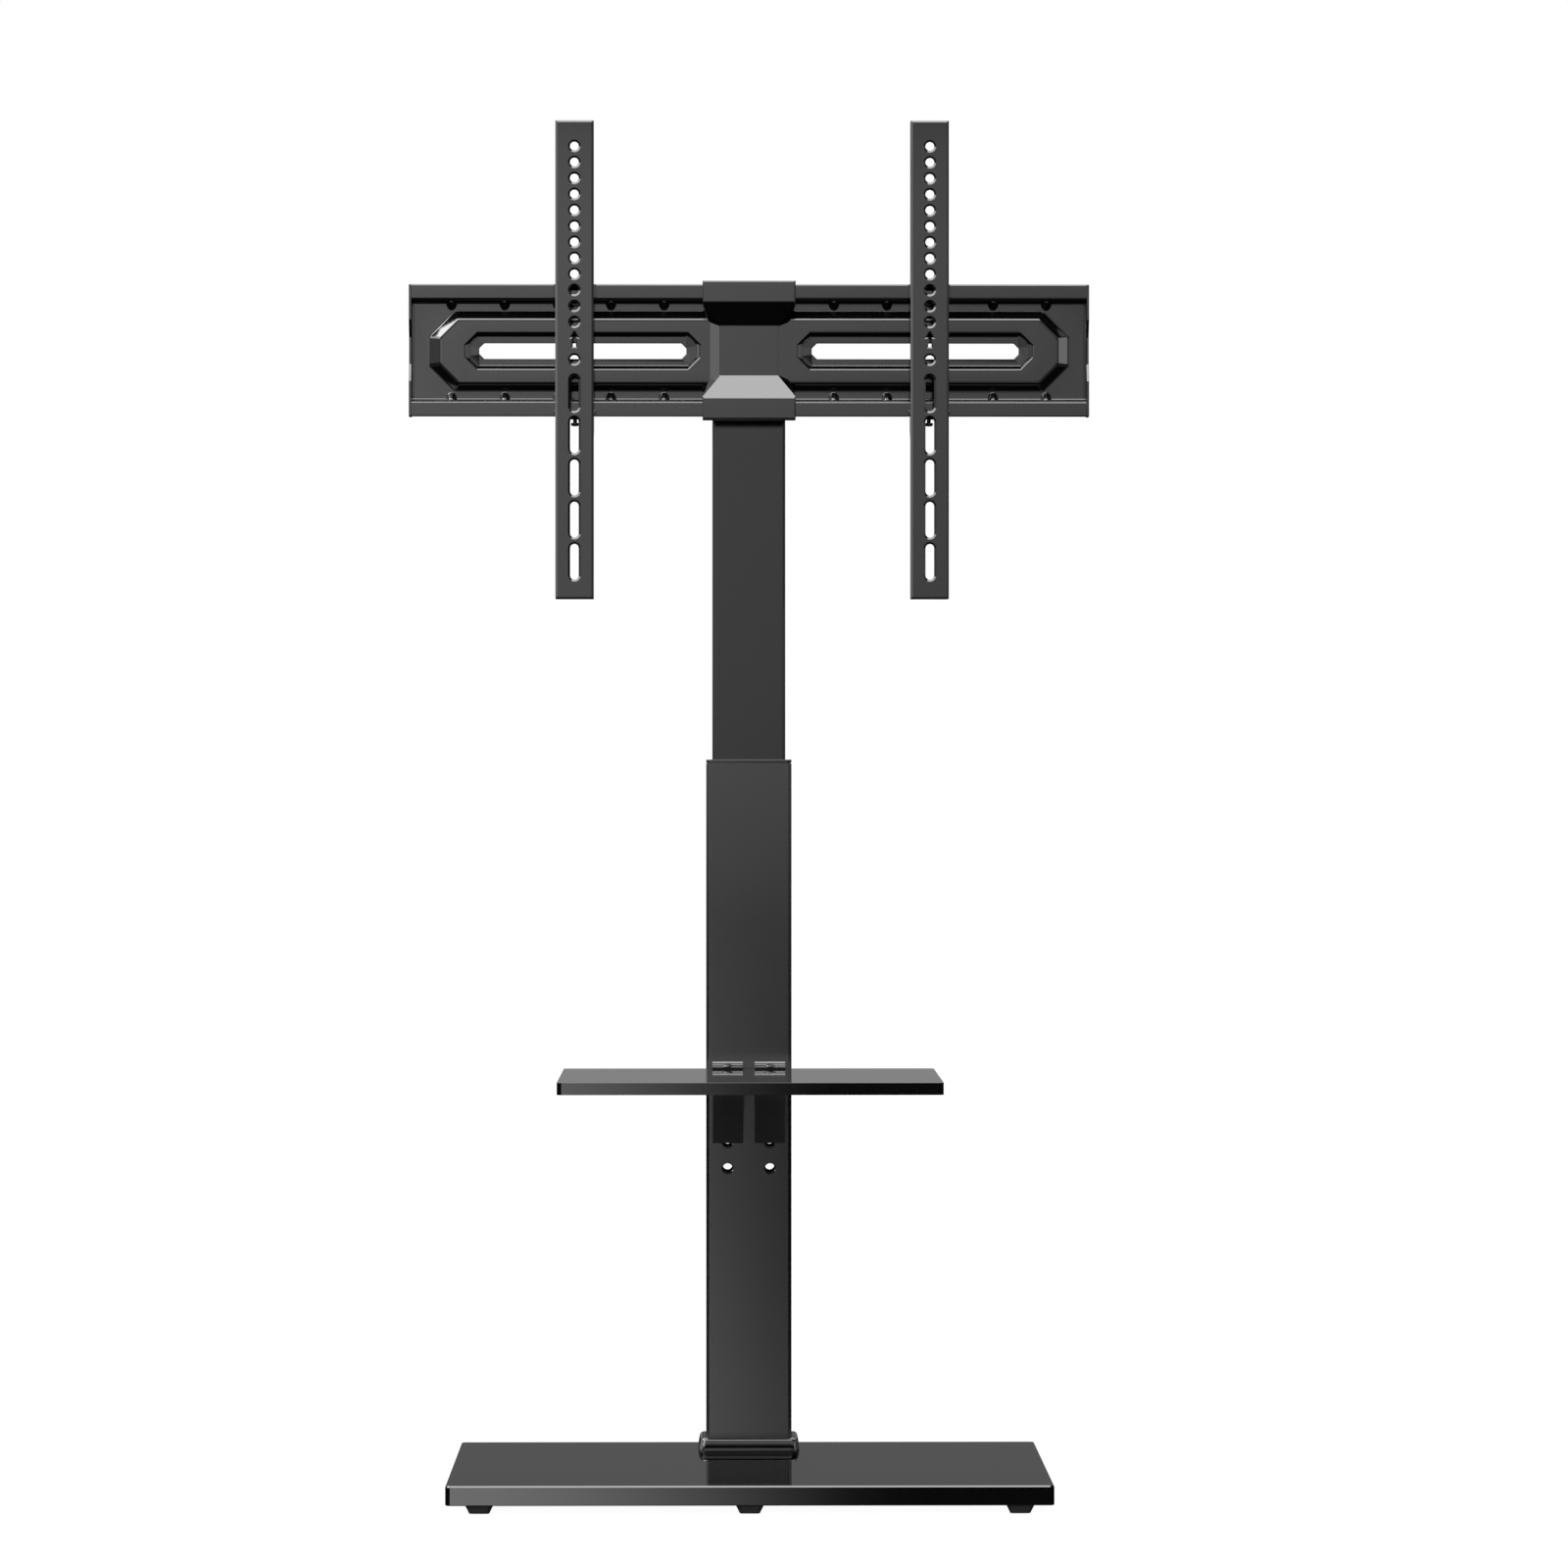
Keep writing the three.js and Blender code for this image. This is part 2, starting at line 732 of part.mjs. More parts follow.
function addShelf() {
  const outline = roundedRectangle(
    shelfWidth,
    shelfDepth,
    shelfCornerRadius,
    [0, shelfFrontY + shelfDepth / 2],
  );
  const board = prismZ(outline, [shelfBottomZ, shelfTopZ], shelfEdgeBevel);
  const screwHoles = bothSides.map((side) => rodZ(
    shelfScrewDiameter / 2 + fitGap,
    side * postHoleX,
    shelfScrewY,
    [shelfBottomZ - overrun, shelfTopZ + overrun],
  ));
  addPiece('shelf', cut(board, ...screwHoles), finish.gloss);
}

// Side view of a bracket: upright at the post, level under the shelf, with a hollow curve between
function bracketOutline(inset) {
  const backY = postFrontY - inset;
  const noseY = postFrontY - bracketReach + inset;
  const noseZ = bracketTopZ - bracketNoseHeight + inset;
  const lowZ = bracketBottomZ + inset;
  const points = [[backY, lowZ], [backY, bracketTopZ + (inset > 0 ? overrun : 0)]];
  points.push([noseY, bracketTopZ + (inset > 0 ? overrun : 0)]);
  const bend = [
    postFrontY - bracketReach * (1 - bracketCurveShare),
    bracketTopZ - bracketNoseHeight,
  ];
  for (let k = 0; k <= bracketCurveSteps; k += 1) {
    const t = k / bracketCurveSteps;
    const u = (1 - t) ** 2 * noseY + 2 * t * (1 - t) * bend[0] + t ** 2 * (backY - bracketSheet);
    const v = (1 - t) ** 2 * noseZ + 2 * t * (1 - t) * (bend[1] + inset) + t ** 2 * lowZ;
    points.push([u, v]);
  }
  return outlineOf(points);
}

function addShelfBracket(name, x) {
  const half = bracketWidth / 2;
  const outside = prismX(bracketOutline(0), [x - half, x + half]);
  const hollow = prismX(bracketOutline(bracketSheet), [x - half + bracketSheet, x + half - bracketSheet]);
  const lid = block(
    [x - half + bracketSheet / 2, x + half - bracketSheet / 2],
    [postFrontY - bracketTopFlangeReach, postFrontY - bracketSheet / 2],
    [bracketTopZ - bracketSheet, bracketTopZ],
  );
  const screwHole = rodZ(
    shelfScrewDiameter / 2 + fitGap,
    x,
    shelfScrewY,
    [bracketTopZ - bracketSheet - overrun, bracketTopZ + overrun],
  );
  const boltHoles = postBoltHeights.map((z) => rodY(
    postBoltDiameter / 2 + fitGap,
    x,
    [postFrontY - bracketSheet - overrun / 2, postFrontY + overrun],
    z,
  ));
  const bracket = cut(join(cut(outside, hollow), lid), screwHole, ...boltHoles);
  addPiece(`shelf_bracket_${name}`, bracket, finish.steel);
}

function addShelfPad(name, x) {
  const half = shelfPadWidth / 2;
  const pad = block(
    [x - half, x + half],
    [postFrontY - bracketReach, shelfBackY],
    [bracketTopZ, shelfBottomZ],
  );
  const hole = rodZ(
    shelfScrewDiameter / 2 + fitGap,
    x,
    shelfScrewY,
    [bracketTopZ - overrun, shelfBottomZ + overrun],
  );
  addPiece(`shelf_pad_${name}`, cut(pad, hole), finish.rubber);
}

function addShelfClamp(name, x) {
  const half = bracketWidth / 2;
  const backY = postFrontY - fitGap;
  const middleY = backY - clampSheet / 2;
  const profile = bentSheet([
    [middleY, shelfTopZ + clampUpstand],
    [middleY, shelfTopZ + clampSheet / 2],
    [backY - clampReach, shelfTopZ + clampSheet / 2],
  ], clampSheet, bendRadius / 2);
  const hole = rodZ(
    shelfScrewDiameter / 2 + fitGap,
    x,
    shelfScrewY,
    [shelfTopZ - overrun, shelfTopZ + clampSheet + overrun],
  );
  addPiece(`shelf_clamp_${name}`, cut(prismX(profile, [x - half, x + half]), hole), finish.steel);
}

function addShelfScrew(name, x) {
  const headBottomZ = shelfTopZ + clampSheet;
  const head = rodZ(
    shelfScrewHeadDiameter / 2,
    x,
    shelfScrewY,
    [headBottomZ, headBottomZ + shelfScrewHeadHeight],
    fineSides,
    shelfScrewHeadDiameter / 3,
  );
  const shaft = rodZ(
    shelfScrewDiameter / 2,
    x,
    shelfScrewY,
    [headBottomZ - shelfScrewLength, headBottomZ],
  );
  addPiece(`shelf_screw_${name}`, join(head, shaft), finish.zinc);

  const nutTopZ = bracketTopZ - bracketSheet;
  const nut = hexZ(shelfNutAcrossFlats, x, shelfScrewY, [nutTopZ - shelfNutHeight, nutTopZ]);
  const thread = rodZ(
    shelfScrewDiameter / 2 + fitGap,
    x,
    shelfScrewY,
    [nutTopZ - shelfNutHeight - overrun, nutTopZ + overrun],
  );
  addPiece(`shelf_nut_${name}`, cut(nut, thread), finish.zinc);
}

const postBoltHeights = [postHoleRows - 2, postHoleRows - 1].map(
  (row) => lowestPostHoleZ + row * postHolePitch,
);

function addPostBolts(name, x) {
  const nutFrontY = postFrontY - bracketSheet - postNutHeight;
  const levels = ['low', 'high'];
  postBoltHeights.forEach((z, i) => {
    const head = hexY(postBoltHeadAcrossFlats, x, [postBackY, postBackY + postBoltHeadHeight], z);
    const shaft = rodY(postBoltDiameter / 2, x, [nutFrontY, postBackY], z);
    addPiece(`post_bolt_${name}_${levels[i]}`, join(head, shaft), finish.zinc);

    const nut = hexY(postNutAcrossFlats, x, [nutFrontY, postFrontY - bracketSheet], z);
    const thread = rodY(postBoltDiameter / 2 + fitGap, x, [nutFrontY - overrun, postFrontY], z);
    addPiece(`post_nut_${name}_${levels[i]}`, cut(nut, thread), finish.zinc);
  });
}

function addShelfSupports() {
  const sides = { left: -postHoleX, right: postHoleX };
  for (const [name, x] of Object.entries(sides)) {
    addShelfBracket(name, x);
    addShelfPad(name, x);
    addShelfClamp(name, x);
    addShelfScrew(name, x);
    addPostBolts(name, x);
  }
}

// Swivel joint

const headBoltPlaces = bothSides.flatMap((side) => bothSides.map((end) => [
  side * headBoltSpacingX / 2,
  plateCentreZ + end * headBoltSpacingZ / 2,
]));
const headBoltTopZ = plateCentreZ + headBoltSpacingZ / 2 + headBoltDiameter / 2 + 2 * fitGap;

// An ear seen from above: a root on its plate and a round tip around the pin
function earOutline(rootY) {
  const shape = new THREE.Shape();
  const towardsPin = Math.sign(pinY - rootY);
  shape.moveTo(-earRootHalfWidth, rootY);
  shape.lineTo(-earTipRadius, pinY);
  shape.absarc(0, pinY, earTipRadius, Math.PI, 0, towardsPin > 0);
  shape.lineTo(earRootHalfWidth, rootY);
  shape.closePath();
  return shape;
}

function pinBore(z) {
  return rodZ(pinDiameter / 2 + fitGap, 0, pinY, [z[0] - overrun, z[1] + overrun], fineSides);
}

function earSolid(rootY, z) {
  return cut(prismZ(earOutline(rootY), z), pinBore(z));
}

// Height of an ear, washer or nut above the joint's middle, on its upper or lower side
function spanFromMiddle(side, near, thickness) {
  const ends = [plateCentreZ + side * near, plateCentreZ + side * (near + thickness)];
  return ends.sort((a, b) => a - b);
}

function addPostBracket() {
  const plate = block(
    [-postBracketWidth / 2, postBracketWidth / 2],
    [postBracketFrontY, innerPostFrontY],
    [plateCentreZ - jointPlateHeight / 2, plateCentreZ + jointPlateHeight / 2],
  );
  const rootY = postBracketFrontY + jointPlateSheet / 2;
  const ears = bothSides.map((side) => earSolid(
    rootY,
    spanFromMiddle(side, postEarLevel - earThickness, earThickness),
  ));
  const boltHoles = headBoltPlaces.map(([x, z]) => rodY(
    headBoltDiameter / 2 + fitGap,
    x,
    [postBracketFrontY - overrun, innerPostFrontY + overrun],
    z,
  ));
  addPiece('post_bracket', cut(join(plate, ...ears), ...boltHoles), finish.steel);

  headBoltPlaces.forEach(([x, z], i) => {
    const head = hexY(headBoltHeadAcrossFlats, x, [innerPostBackY, innerPostBackY + headBoltHeadHeight], z);
    const shaft = rodY(headBoltDiameter / 2, x, [postBracketFrontY, innerPostBackY], z);
    addPiece(`head_bolt_${i + 1}`, join(head, shaft), finish.zinc);
  });
}

function addPlateBracket() {
  const plate = block(
    [-plateBracketWidth / 2, plateBracketWidth / 2],
    [webBackY, plateBracketBackY],
    [plateCentreZ - jointPlateHeight / 2, plateCentreZ + jointPlateHeight / 2],
  );
  const rootY = plateBracketBackY - jointPlateSheet / 2;
  const ears = bothSides.map((side) => earSolid(rootY, spanFromMiddle(side, plateEarLevel, earThickness)));
  addPiece('plate_bracket', join(plate, ...ears), finish.steel);
}

function addSwivelPin() {
  const names = { lower: -1, upper: 1 };
  for (const [name, side] of Object.entries(names)) {
    const z = spanFromMiddle(side, postEarLevel, washerThickness);
    const ring = cut(rodZ(washerRadius, 0, pinY, z, fineSides), pinBore(z));
    addPiece(`swivel_washer_${name}`, ring, finish.nylon);
  }
  const earOuter = plateEarLevel + earThickness + fitGap;
  const headZ = spanFromMiddle(1, earOuter, pinHeadHeight);
  const nutZ = spanFromMiddle(-1, earOuter, pinNutHeight);
  const head = hexZ(pinHeadAcrossFlats, 0, pinY, headZ);
  const shaft = rodZ(pinDiameter / 2, 0, pinY, [nutZ[0] - pinTail, headZ[0]], fineSides);
  addPiece('swivel_pin', join(head, shaft), finish.zinc);
  addPiece('swivel_nut', cut(hexZ(pinHeadAcrossFlats, 0, pinY, nutZ), pinBore(nutZ)), finish.zinc);
}

// Wall plate

// An eight-sided loop in the plane of the plate, at depth y
function loop(centreX, length, height, corner, y) {
  const a = length / 2;
  const b = height / 2;
  return [
    [a - corner, b], [a, b - corner], [a, corner - b], [a - corner, -b],
    [corner - a, -b], [-a, corner - b], [-a, b - corner], [corner - a, b],
  ].map(([x, z]) => [centreX + x, y, plateCentreZ + z]);
}

function fieldLoop(y) {
  return loop(0, fieldLength, fieldHeight, fieldCorner, y);
}

function fieldTopLoop(y) {
  return loop(0, fieldTopLength, fieldTopHeight, fieldTopCorner, y);
}

function dishLoop(x, y) {
  return loop(x, dishLength, dishHeight, dishCorner, y);
}

function dishFloorLoop(x, y) {
  return loop(x, dishFloorLength, dishFloorHeight, dishFloorCorner, y);
}

function railSheet() {
  const lipMiddleY = lipFrontY + sheet / 2;
  const webMiddleY = webFrontY + sheet / 2;
  return bentSheet([
    [lipMiddleY, plateCentreZ + plateTop],
    [lipMiddleY, plateCentreZ + flangeLevel],
    [webMiddleY, plateCentreZ + flangeLevel],
    [webMiddleY, plateCentreZ - flangeLevel],
    [lipMiddleY, plateCentreZ - flangeLevel],
    [lipMiddleY, plateCentreZ - plateTop],
  ], sheet, bendRadius);
}

function endFlange(side) {
  const notchY = lipFrontY + endNotchDepth;
  const outline = outlineOf([
    [webBackY, plateCentreZ - plateTop], [webBackY, plateCentreZ + plateTop],
    [lipFrontY, plateCentreZ + plateTop], [lipFrontY, plateCentreZ + endNotchOuter],
    [notchY, plateCentreZ + endNotchInner], [notchY, plateCentreZ - endNotchInner],
    [lipFrontY, plateCentreZ - endNotchOuter], [lipFrontY, plateCentreZ - plateTop],
  ]);
  const outer = side * plateWidth / 2;
  const inner = outer - side * sheet;
  return prismX(outline, [Math.min(outer, inner), Math.max(outer, inner)]);
}

// Round stiffeners pressed into the corners between the web and the rails
function gussets() {
  const solids = [];
  const room = flangeLevel - sheet / 4;
  for (const side of bothSides) {
    for (const level of bothSides) {
      for (let i = 0; i < gussetCount; i += 1) {
        const x = side * (gussetFirstX + i * gussetPitch);
        const z = plateCentreZ + level * gussetLevel;
        const y = [webFrontY - gussetDepth, webFrontY + sheet / 4];
        const boss = rodY(gussetRadius, x, y, z, coarseSides, gussetTopRadius);
        const keep = block(
          [x - 2 * gussetRadius, x + 2 * gussetRadius],
          [y[0] - overrun, y[1] + overrun],
          [plateCentreZ - room, plateCentreZ + room],
        );
        solids.push(boss.intersect(keep));
      }
    }
  }
  return solids;
}

function addWallPlate() {
  const half = (plateWidth - sheet) / 2;
  const fieldFront = hull([
    ...fieldLoop(webBackY),
    ...fieldLoop(webFrontY),
    ...fieldTopLoop(fieldFrontY),
  ]);
  const fieldBack = hull([
    ...fieldLoop(webBackY + overrun),
    ...fieldLoop(webBackY),
    ...fieldTopLoop(fieldFrontY + sheet),
  ]);
  let plate = join(prismX(railSheet(), [-half, half]), endFlange(-1), endFlange(1), ...gussets());
  plate = cut(join(plate, fieldFront), fieldBack);
  for (const side of bothSides) {
    const x = side * openingCentreX;
    const dishBack = hull([
      ...dishLoop(x, fieldFrontY + sheet / 2),
      ...dishLoop(x, fieldFrontY + sheet),
      ...dishFloorLoop(x, fieldFrontY + dishDepth + sheet),
    ]);
    const dishFront = hull([
      ...dishLoop(x, fieldFrontY - overrun),
      ...dishLoop(x, fieldFrontY),
      ...dishFloorLoop(x, fieldFrontY + dishDepth),
    ]);
    const opening = hull([
      ...loop(x, openingLength, openingHeight, openingCorner, fieldFrontY - overrun),
      ...loop(x, openingLength, openingHeight, openingCorner, webBackY + overrun),
    ]);
    plate = cut(join(plate, dishBack), dishFront, opening);
  }
  addPiece('wall_plate', plate, finish.steel);
}

// Centre cover

function mirrored(points) {
  return points.flatMap(([x, y, z]) => [[x, y, z], [-x, y, z]]);
}

function coverBody(inset, sink) {
  const halfWidth = coverWidth / 2 - inset;
  const waist = coverWaistWidth / 2 - inset;
  const panel = coverPanelWidth / 2 - inset;
  const top = coverHeight / 2 - inset;
  const bandEdge = coverHeight / 2 - coverBandHeight + inset;
  const panelTop = coverPanelHeight / 2 + inset;
  const waistTop = coverWaistHeight / 2 + inset;
  const frontY = coverFrontSetback + sink;
  const panelY = frontY + coverPanelSink;
  const bandBackY = lipFrontY - fitGap + sink;
  const waistBackY = fieldFrontY - fitGap + sink;
  const waistRing = mirrored([
    [panel, panelY, plateCentreZ - panelTop], [panel, panelY, plateCentreZ + panelTop],
    [waist, waistBackY, plateCentreZ - waistTop], [waist, waistBackY, plateCentreZ + waistTop],
  ]);
  const solids = [hull(waistRing)];
  for (const side of bothSides) {
    const z = (height) => plateCentreZ + side * height;
    solids.push(hull(mirrored([
      [halfWidth, frontY, z(top)], [halfWidth, bandBackY, z(top)],
      [halfWidth, frontY, z(bandEdge)], [halfWidth, bandBackY, z(bandEdge)],
    ])));
    solids.push(hull(mirrored([
      [halfWidth, frontY, z(bandEdge)], [halfWidth, waistBackY, z(bandEdge)],
      [panel, panelY, z(panelTop)], [waist, waistBackY, z(waistTop)],
    ])));
  }
  return join(...solids);
}

function coverLips() {
  const solids = [];
  const half = coverWidth / 2;
  const clipHalf = coverClipWidth / 2;
  const lipUnder = plateTop + fitGap;
  for (const side of bothSides) {
    const lip = spanFromMiddle(side, lipUnder, coverHeight / 2 - lipUnder);
    const clip = spanFromMiddle(side, lipUnder - coverClipDrop, coverClipDrop + coverWall / 2);
    const bridgeY = [lipFrontY - fitGap - coverWall / 2, lipFrontY - fitGap + coverLipReach];
    solids.push(block([-half, half], bridgeY, lip));
    const clipY = [lipBackY + fitGap, lipBackY + fitGap + coverClipThickness];
    solids.push(block([-clipHalf, clipHalf], clipY, clip));
  }
  return solids;
}

function addCover() {
  const shell = cut(coverBody(0, 0), coverBody(coverWall, coverWall));
  addPiece('centre_cover', join(shell, ...coverLips()), finish.plastic);
}

// Screen arms

function slotOutline(x, z) {
  const radius = slotWidth / 2;
  const reach = slotLength / 2 - radius;
  const shape = new THREE.Shape();
  shape.absarc(x, z + reach, radius, 0, Math.PI);
  shape.absarc(x, z - reach, radius, Math.PI, 2 * Math.PI);
  shape.closePath();
  return shape;
}

function arrowOutline(x, topZ) {
  const neckZ = topZ - arrowHeadHeight;
  const bottomZ = topZ - arrowHeight;
  const wing = arrowHeadWidth / 2;
  const stem = arrowStemWidth / 2;
  return outlineOf([
    [x, topZ], [x - wing, neckZ], [x - stem, neckZ], [x - stem, bottomZ],
    [x + stem, bottomZ], [x + stem, neckZ], [x + wing, neckZ],
  ]);
}

function armCutters(x) {
  const through = [armFrontY - overrun, armFrontY + sheet + overrun];
  const rimY = [armFrontY - fitGap, armFrontY + armHoleRimDepth];
  const radius = armHoleDiameter / 2;
  const holeHeights = Array.from(
    { length: armHoleCount },
    (_, i) => armTopZ - armHoleInset - i * armHolePitch,
  );
  holeHeights.push(armTopZ - lowHoleInset);
  const rimRadius = radius + armHoleRimDepth + fitGap;
  const holes = holeHeights.flatMap((z) => [
    rodY(radius, x, through, z, coarseSides),
    rodY(radius, x, rimY, z, coarseSides, rimRadius),
  ]);
  const slots = Array.from({ length: slotCount }, (_, i) => prismY(
    slotOutline(x, armTopZ - slotTopInset - slotLength / 2 - i * slotPitch),
    through,
  ));
  return [...holes, ...slots, prismY(arrowOutline(x, armTopZ - arrowInset), through)];
}

function armChannel(x) {
  const bottomZ = armTopZ - armLength;
  const half = armWidth / 2;
  const outline = outlineOf([
    [x - half, bottomZ], [x + half, bottomZ], [x + half, armTopZ], [x - half, armTopZ],
  ]);
  const outside = prismY(outline, [armFrontY, hookFrontY + armEdgeBevel], armEdgeBevel);
  const trim = block([x - armWidth, x + armWidth], [hookFrontY, hookFrontY + overrun], [bottomZ, armTopZ]);
  const inside = block(
    [x - half + sheet, x + half - sheet],
    [armFrontY + sheet, hookFrontY + overrun],
    [bottomZ + sheet, armTopZ - sheet],
  );
  return cut(outside, trim, inside);
}

// A strip that hooks over the upper rail
function armHook(x) {
  const frontY = hookFrontY + sheet / 2;
  const backY = lipBackY + fitGap + sheet / 2;
  const topZ = plateCentreZ + plateTop + fitGap + sheet / 2;
  const profile = bentSheet([
    [frontY, plateCentreZ + plateTop - hookFrontDrop],
    [frontY, topZ],
    [backY, topZ],
    [backY, plateCentreZ + plateTop - hookBackDrop],
  ], sheet, fitGap / 2);
  return prismX(profile, [x - hookWidth / 2, x + hookWidth / 2]);
}

// Small pads on both sides that rest against the lower rail
function armLowPads(x) {
  const bottomZ = plateCentreZ - plateTop + lowPadInset;
  return bothSides.map((side) => {
    const outer = x + side * hookWidth / 2;
    const inner = x + side * (armWidth / 2 - sheet);
    return block(
      [Math.min(outer, inner), Math.max(outer, inner)],
      [hookFrontY - sheet, hookFrontY + sheet],
      [bottomZ, bottomZ + lowPadHeight],
    );
  });
}

// Two ears and a cross tab just under the lower rail, which hold the locking screw
function armLockEars(x) {
  const topZ = plateCentreZ - plateTop - fitGap;
  const backY = lipBackY + earReach;
  const outline = outlineOf([
    [hookFrontY - armEdgeBevel, topZ], [backY, topZ],
    [backY, topZ - earHeight + earSlope], [hookFrontY - armEdgeBevel, topZ - earHeight],
  ]);
  const half = armWidth / 2;
  const ears = bothSides.map((side) => {
    const outer = x + side * half;
    const inner = outer - side * sheet;
    return prismX(outline, [Math.min(outer, inner), Math.max(outer, inner)]);
  });
  const tab = block([x - half + sheet / 2, x + half - sheet / 2], [lipBackY, backY], [topZ - sheet, topZ]);
  return [...ears, tab];
}

const armScrewY = lipBackY + earReach / 2;

function addArm(name, x) {
  const screwHole = rodZ(
    armScrewDiameter / 2 + fitGap,
    x,
    armScrewY,
    [plateCentreZ - plateTop - overrun, plateCentreZ - plateTop + overrun],
  );
  const whole = join(armChannel(x), armHook(x), ...armLowPads(x), ...armLockEars(x));
  const arm = cut(whole, ...armCutters(x), screwHole);
  addPiece(`${name}_arm`, arm, finish.steel);

  const headTopZ = plateCentreZ - plateTop - fitGap - sheet - armScrewDrop;
  const head = rodZ(
    armScrewHeadDiameter / 2,
    x,
    armScrewY,
    [headTopZ - armScrewHeadHeight, headTopZ],
  );
  const tipZ = plateCentreZ - flangeLevel - sheet / 2 - fitGap;
  const shaft = rodZ(armScrewDiameter / 2, x, armScrewY, [headTopZ, tipZ]);
  addPiece(`${name}_arm_screw`, join(head, shaft), finish.zinc);
}

addBase();
addFeet();
addOuterPost();
addCollar();
addPostCap();
addInnerPost();
addInnerPlugs();
addHeightLocks();
addShelf();
addShelfSupports();
addPostBracket();
addPlateBracket();
addSwivelPin();
addWallPlate();
addCover();
addArm('left', leftArmX);
addArm('right', rightArmX);

stand.position.y = -standCentreY;

export default stand;
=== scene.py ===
import math

import bmesh
import bpy
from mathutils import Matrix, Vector


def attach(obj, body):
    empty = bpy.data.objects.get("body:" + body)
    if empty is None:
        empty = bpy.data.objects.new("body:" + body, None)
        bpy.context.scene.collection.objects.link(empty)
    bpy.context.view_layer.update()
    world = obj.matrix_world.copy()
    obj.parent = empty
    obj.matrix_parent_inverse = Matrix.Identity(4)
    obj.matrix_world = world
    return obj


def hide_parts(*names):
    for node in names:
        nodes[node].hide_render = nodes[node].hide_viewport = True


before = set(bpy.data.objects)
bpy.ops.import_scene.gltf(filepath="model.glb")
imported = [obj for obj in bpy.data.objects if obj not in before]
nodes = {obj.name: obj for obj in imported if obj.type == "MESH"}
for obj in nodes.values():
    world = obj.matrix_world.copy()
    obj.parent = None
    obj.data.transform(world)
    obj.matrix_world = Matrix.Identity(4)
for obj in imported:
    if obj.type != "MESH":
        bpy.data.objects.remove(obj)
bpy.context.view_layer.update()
scene = bpy.context.scene

# Lengths are in millimetres, with depths measured to the back from a plane BASE_FRONT before
# the frame's origin
MM = 0.001
BASE_FRONT = 163
BOARD_TOP = 28.1

# Posts: size across and deep, their middle, the outer one's faces, and the tops of both
OUTER_POST = (87, 60)
INNER_POST = (74.5, 47)
POST_MIDDLE = 249
POST_FRONT = 219
POST_BACK = 279
OUTER_TOP = 739
INNER_TOP = 1201.7

# Thickness of all sheet and tube
WALL = 2

# Brackets, shelf screws and post bolts stand this far to both sides; bolts and holes rise by a step
SIDE_ROW = 21.55
HOLE_STEP = 26.5

# The tops of the shelf and of its brackets, which carry it on thin pads
SHELF_TOP = 428.4
BRACKET_TOP = 414.9

# Head: height of the wall plate's middle, depths of the swivel pin and of the arms' fronts, and
# where the arms stand across
PLATE = 1155.7
SWIVEL_DEPTH = 200.75
ARM_FRONT = 134
LEFT_ARM = -175.7
RIGHT_ARM = 181.6


def spot(point):
    """A place in metres in the frame, from millimetres."""
    x, y, z = point
    return Vector((x * MM, (y - BASE_FRONT) * MM, z * MM))


# Node trees, for finishes, light and repeated pieces


class Value:
    """A socket of a node tree. Sums on it add Math nodes."""

    def __init__(self, tree, socket):
        self.tree = tree
        self.socket = socket

    def other(self, name):
        return Value(self.tree, self.socket.node.outputs[name])

    def __add__(self, number):
        return self.tree.sum("ADD", self, number)

    def __rsub__(self, number):
        return self.tree.sum("SUBTRACT", number, self)

    def __mul__(self, number):
        return self.tree.sum("MULTIPLY", self, number)

    __radd__ = __add__
    __rmul__ = __mul__


class Tree:
    """A node tree under construction; every method adds nodes and gives a Value back."""

    def __init__(self, node_tree):
        self.nodes = node_tree.nodes
        self.links = node_tree.links
        self.nodes.clear()

    def node(self, kind, settings=None, values=None, out=0):
        made = self.nodes.new(kind)
        for name, setting in (settings or {}).items():
            setattr(made, name, setting)
        for name, value in (values or {}).items():
            if isinstance(value, Value):
                self.links.new(value.socket, made.inputs[name])
            else:
                made.inputs[name].default_value = value
        return Value(self, made.outputs[out] if len(made.outputs) else None)

    def sum(self, operation, first, second=0.0):
        return self.node("ShaderNodeMath", {"operation": operation}, {0: first, 1: second})

    def between(self, value, low, high, start=0.0, end=1.0):
        values = {"Value": value, "From Min": low, "From Max": high, "To Min": start, "To Max": end}
        return self.node("ShaderNodeMapRange", {"interpolation_type": "SMOOTHSTEP"}, values)

    def noise(self, place, scale, detail=2.0, rough=0.5):
        values = {"Vector": place, "Scale": scale, "Detail": detail, "Roughness": rough}
        return self.node("ShaderNodeTexNoise", {}, values)

    def blend(self, factor, dark, light):
        settings = {"data_type": "RGBA"}
        return self.node("ShaderNodeMix", settings, {0: factor, 6: dark, 7: light}, out=2)


# Finishes

COAT_IOR = 1.5


def grey(level, tint=0.0):
    """A grey colour, a little bluer by the tint."""
    return (level, level, level * (1 + tint), 1)


def finish(name, build):
    """A material; build gives what goes into the sockets of its shader."""
    material = bpy.data.materials.new(name)
    material.use_nodes = True
    tree = Tree(material.node_tree)
    place = tree.node("ShaderNodeTexCoord", out="Object")
    values = build(tree, place)
    shader = tree.node("ShaderNodeBsdfPrincipled", {}, values)
    tree.node("ShaderNodeOutputMaterial", {}, {"Surface": shader})
    return material


def bump(tree, height, depth, strength):
    values = {"Height": height, "Distance": depth, "Strength": strength}
    return tree.node("ShaderNodeBump", {}, values)


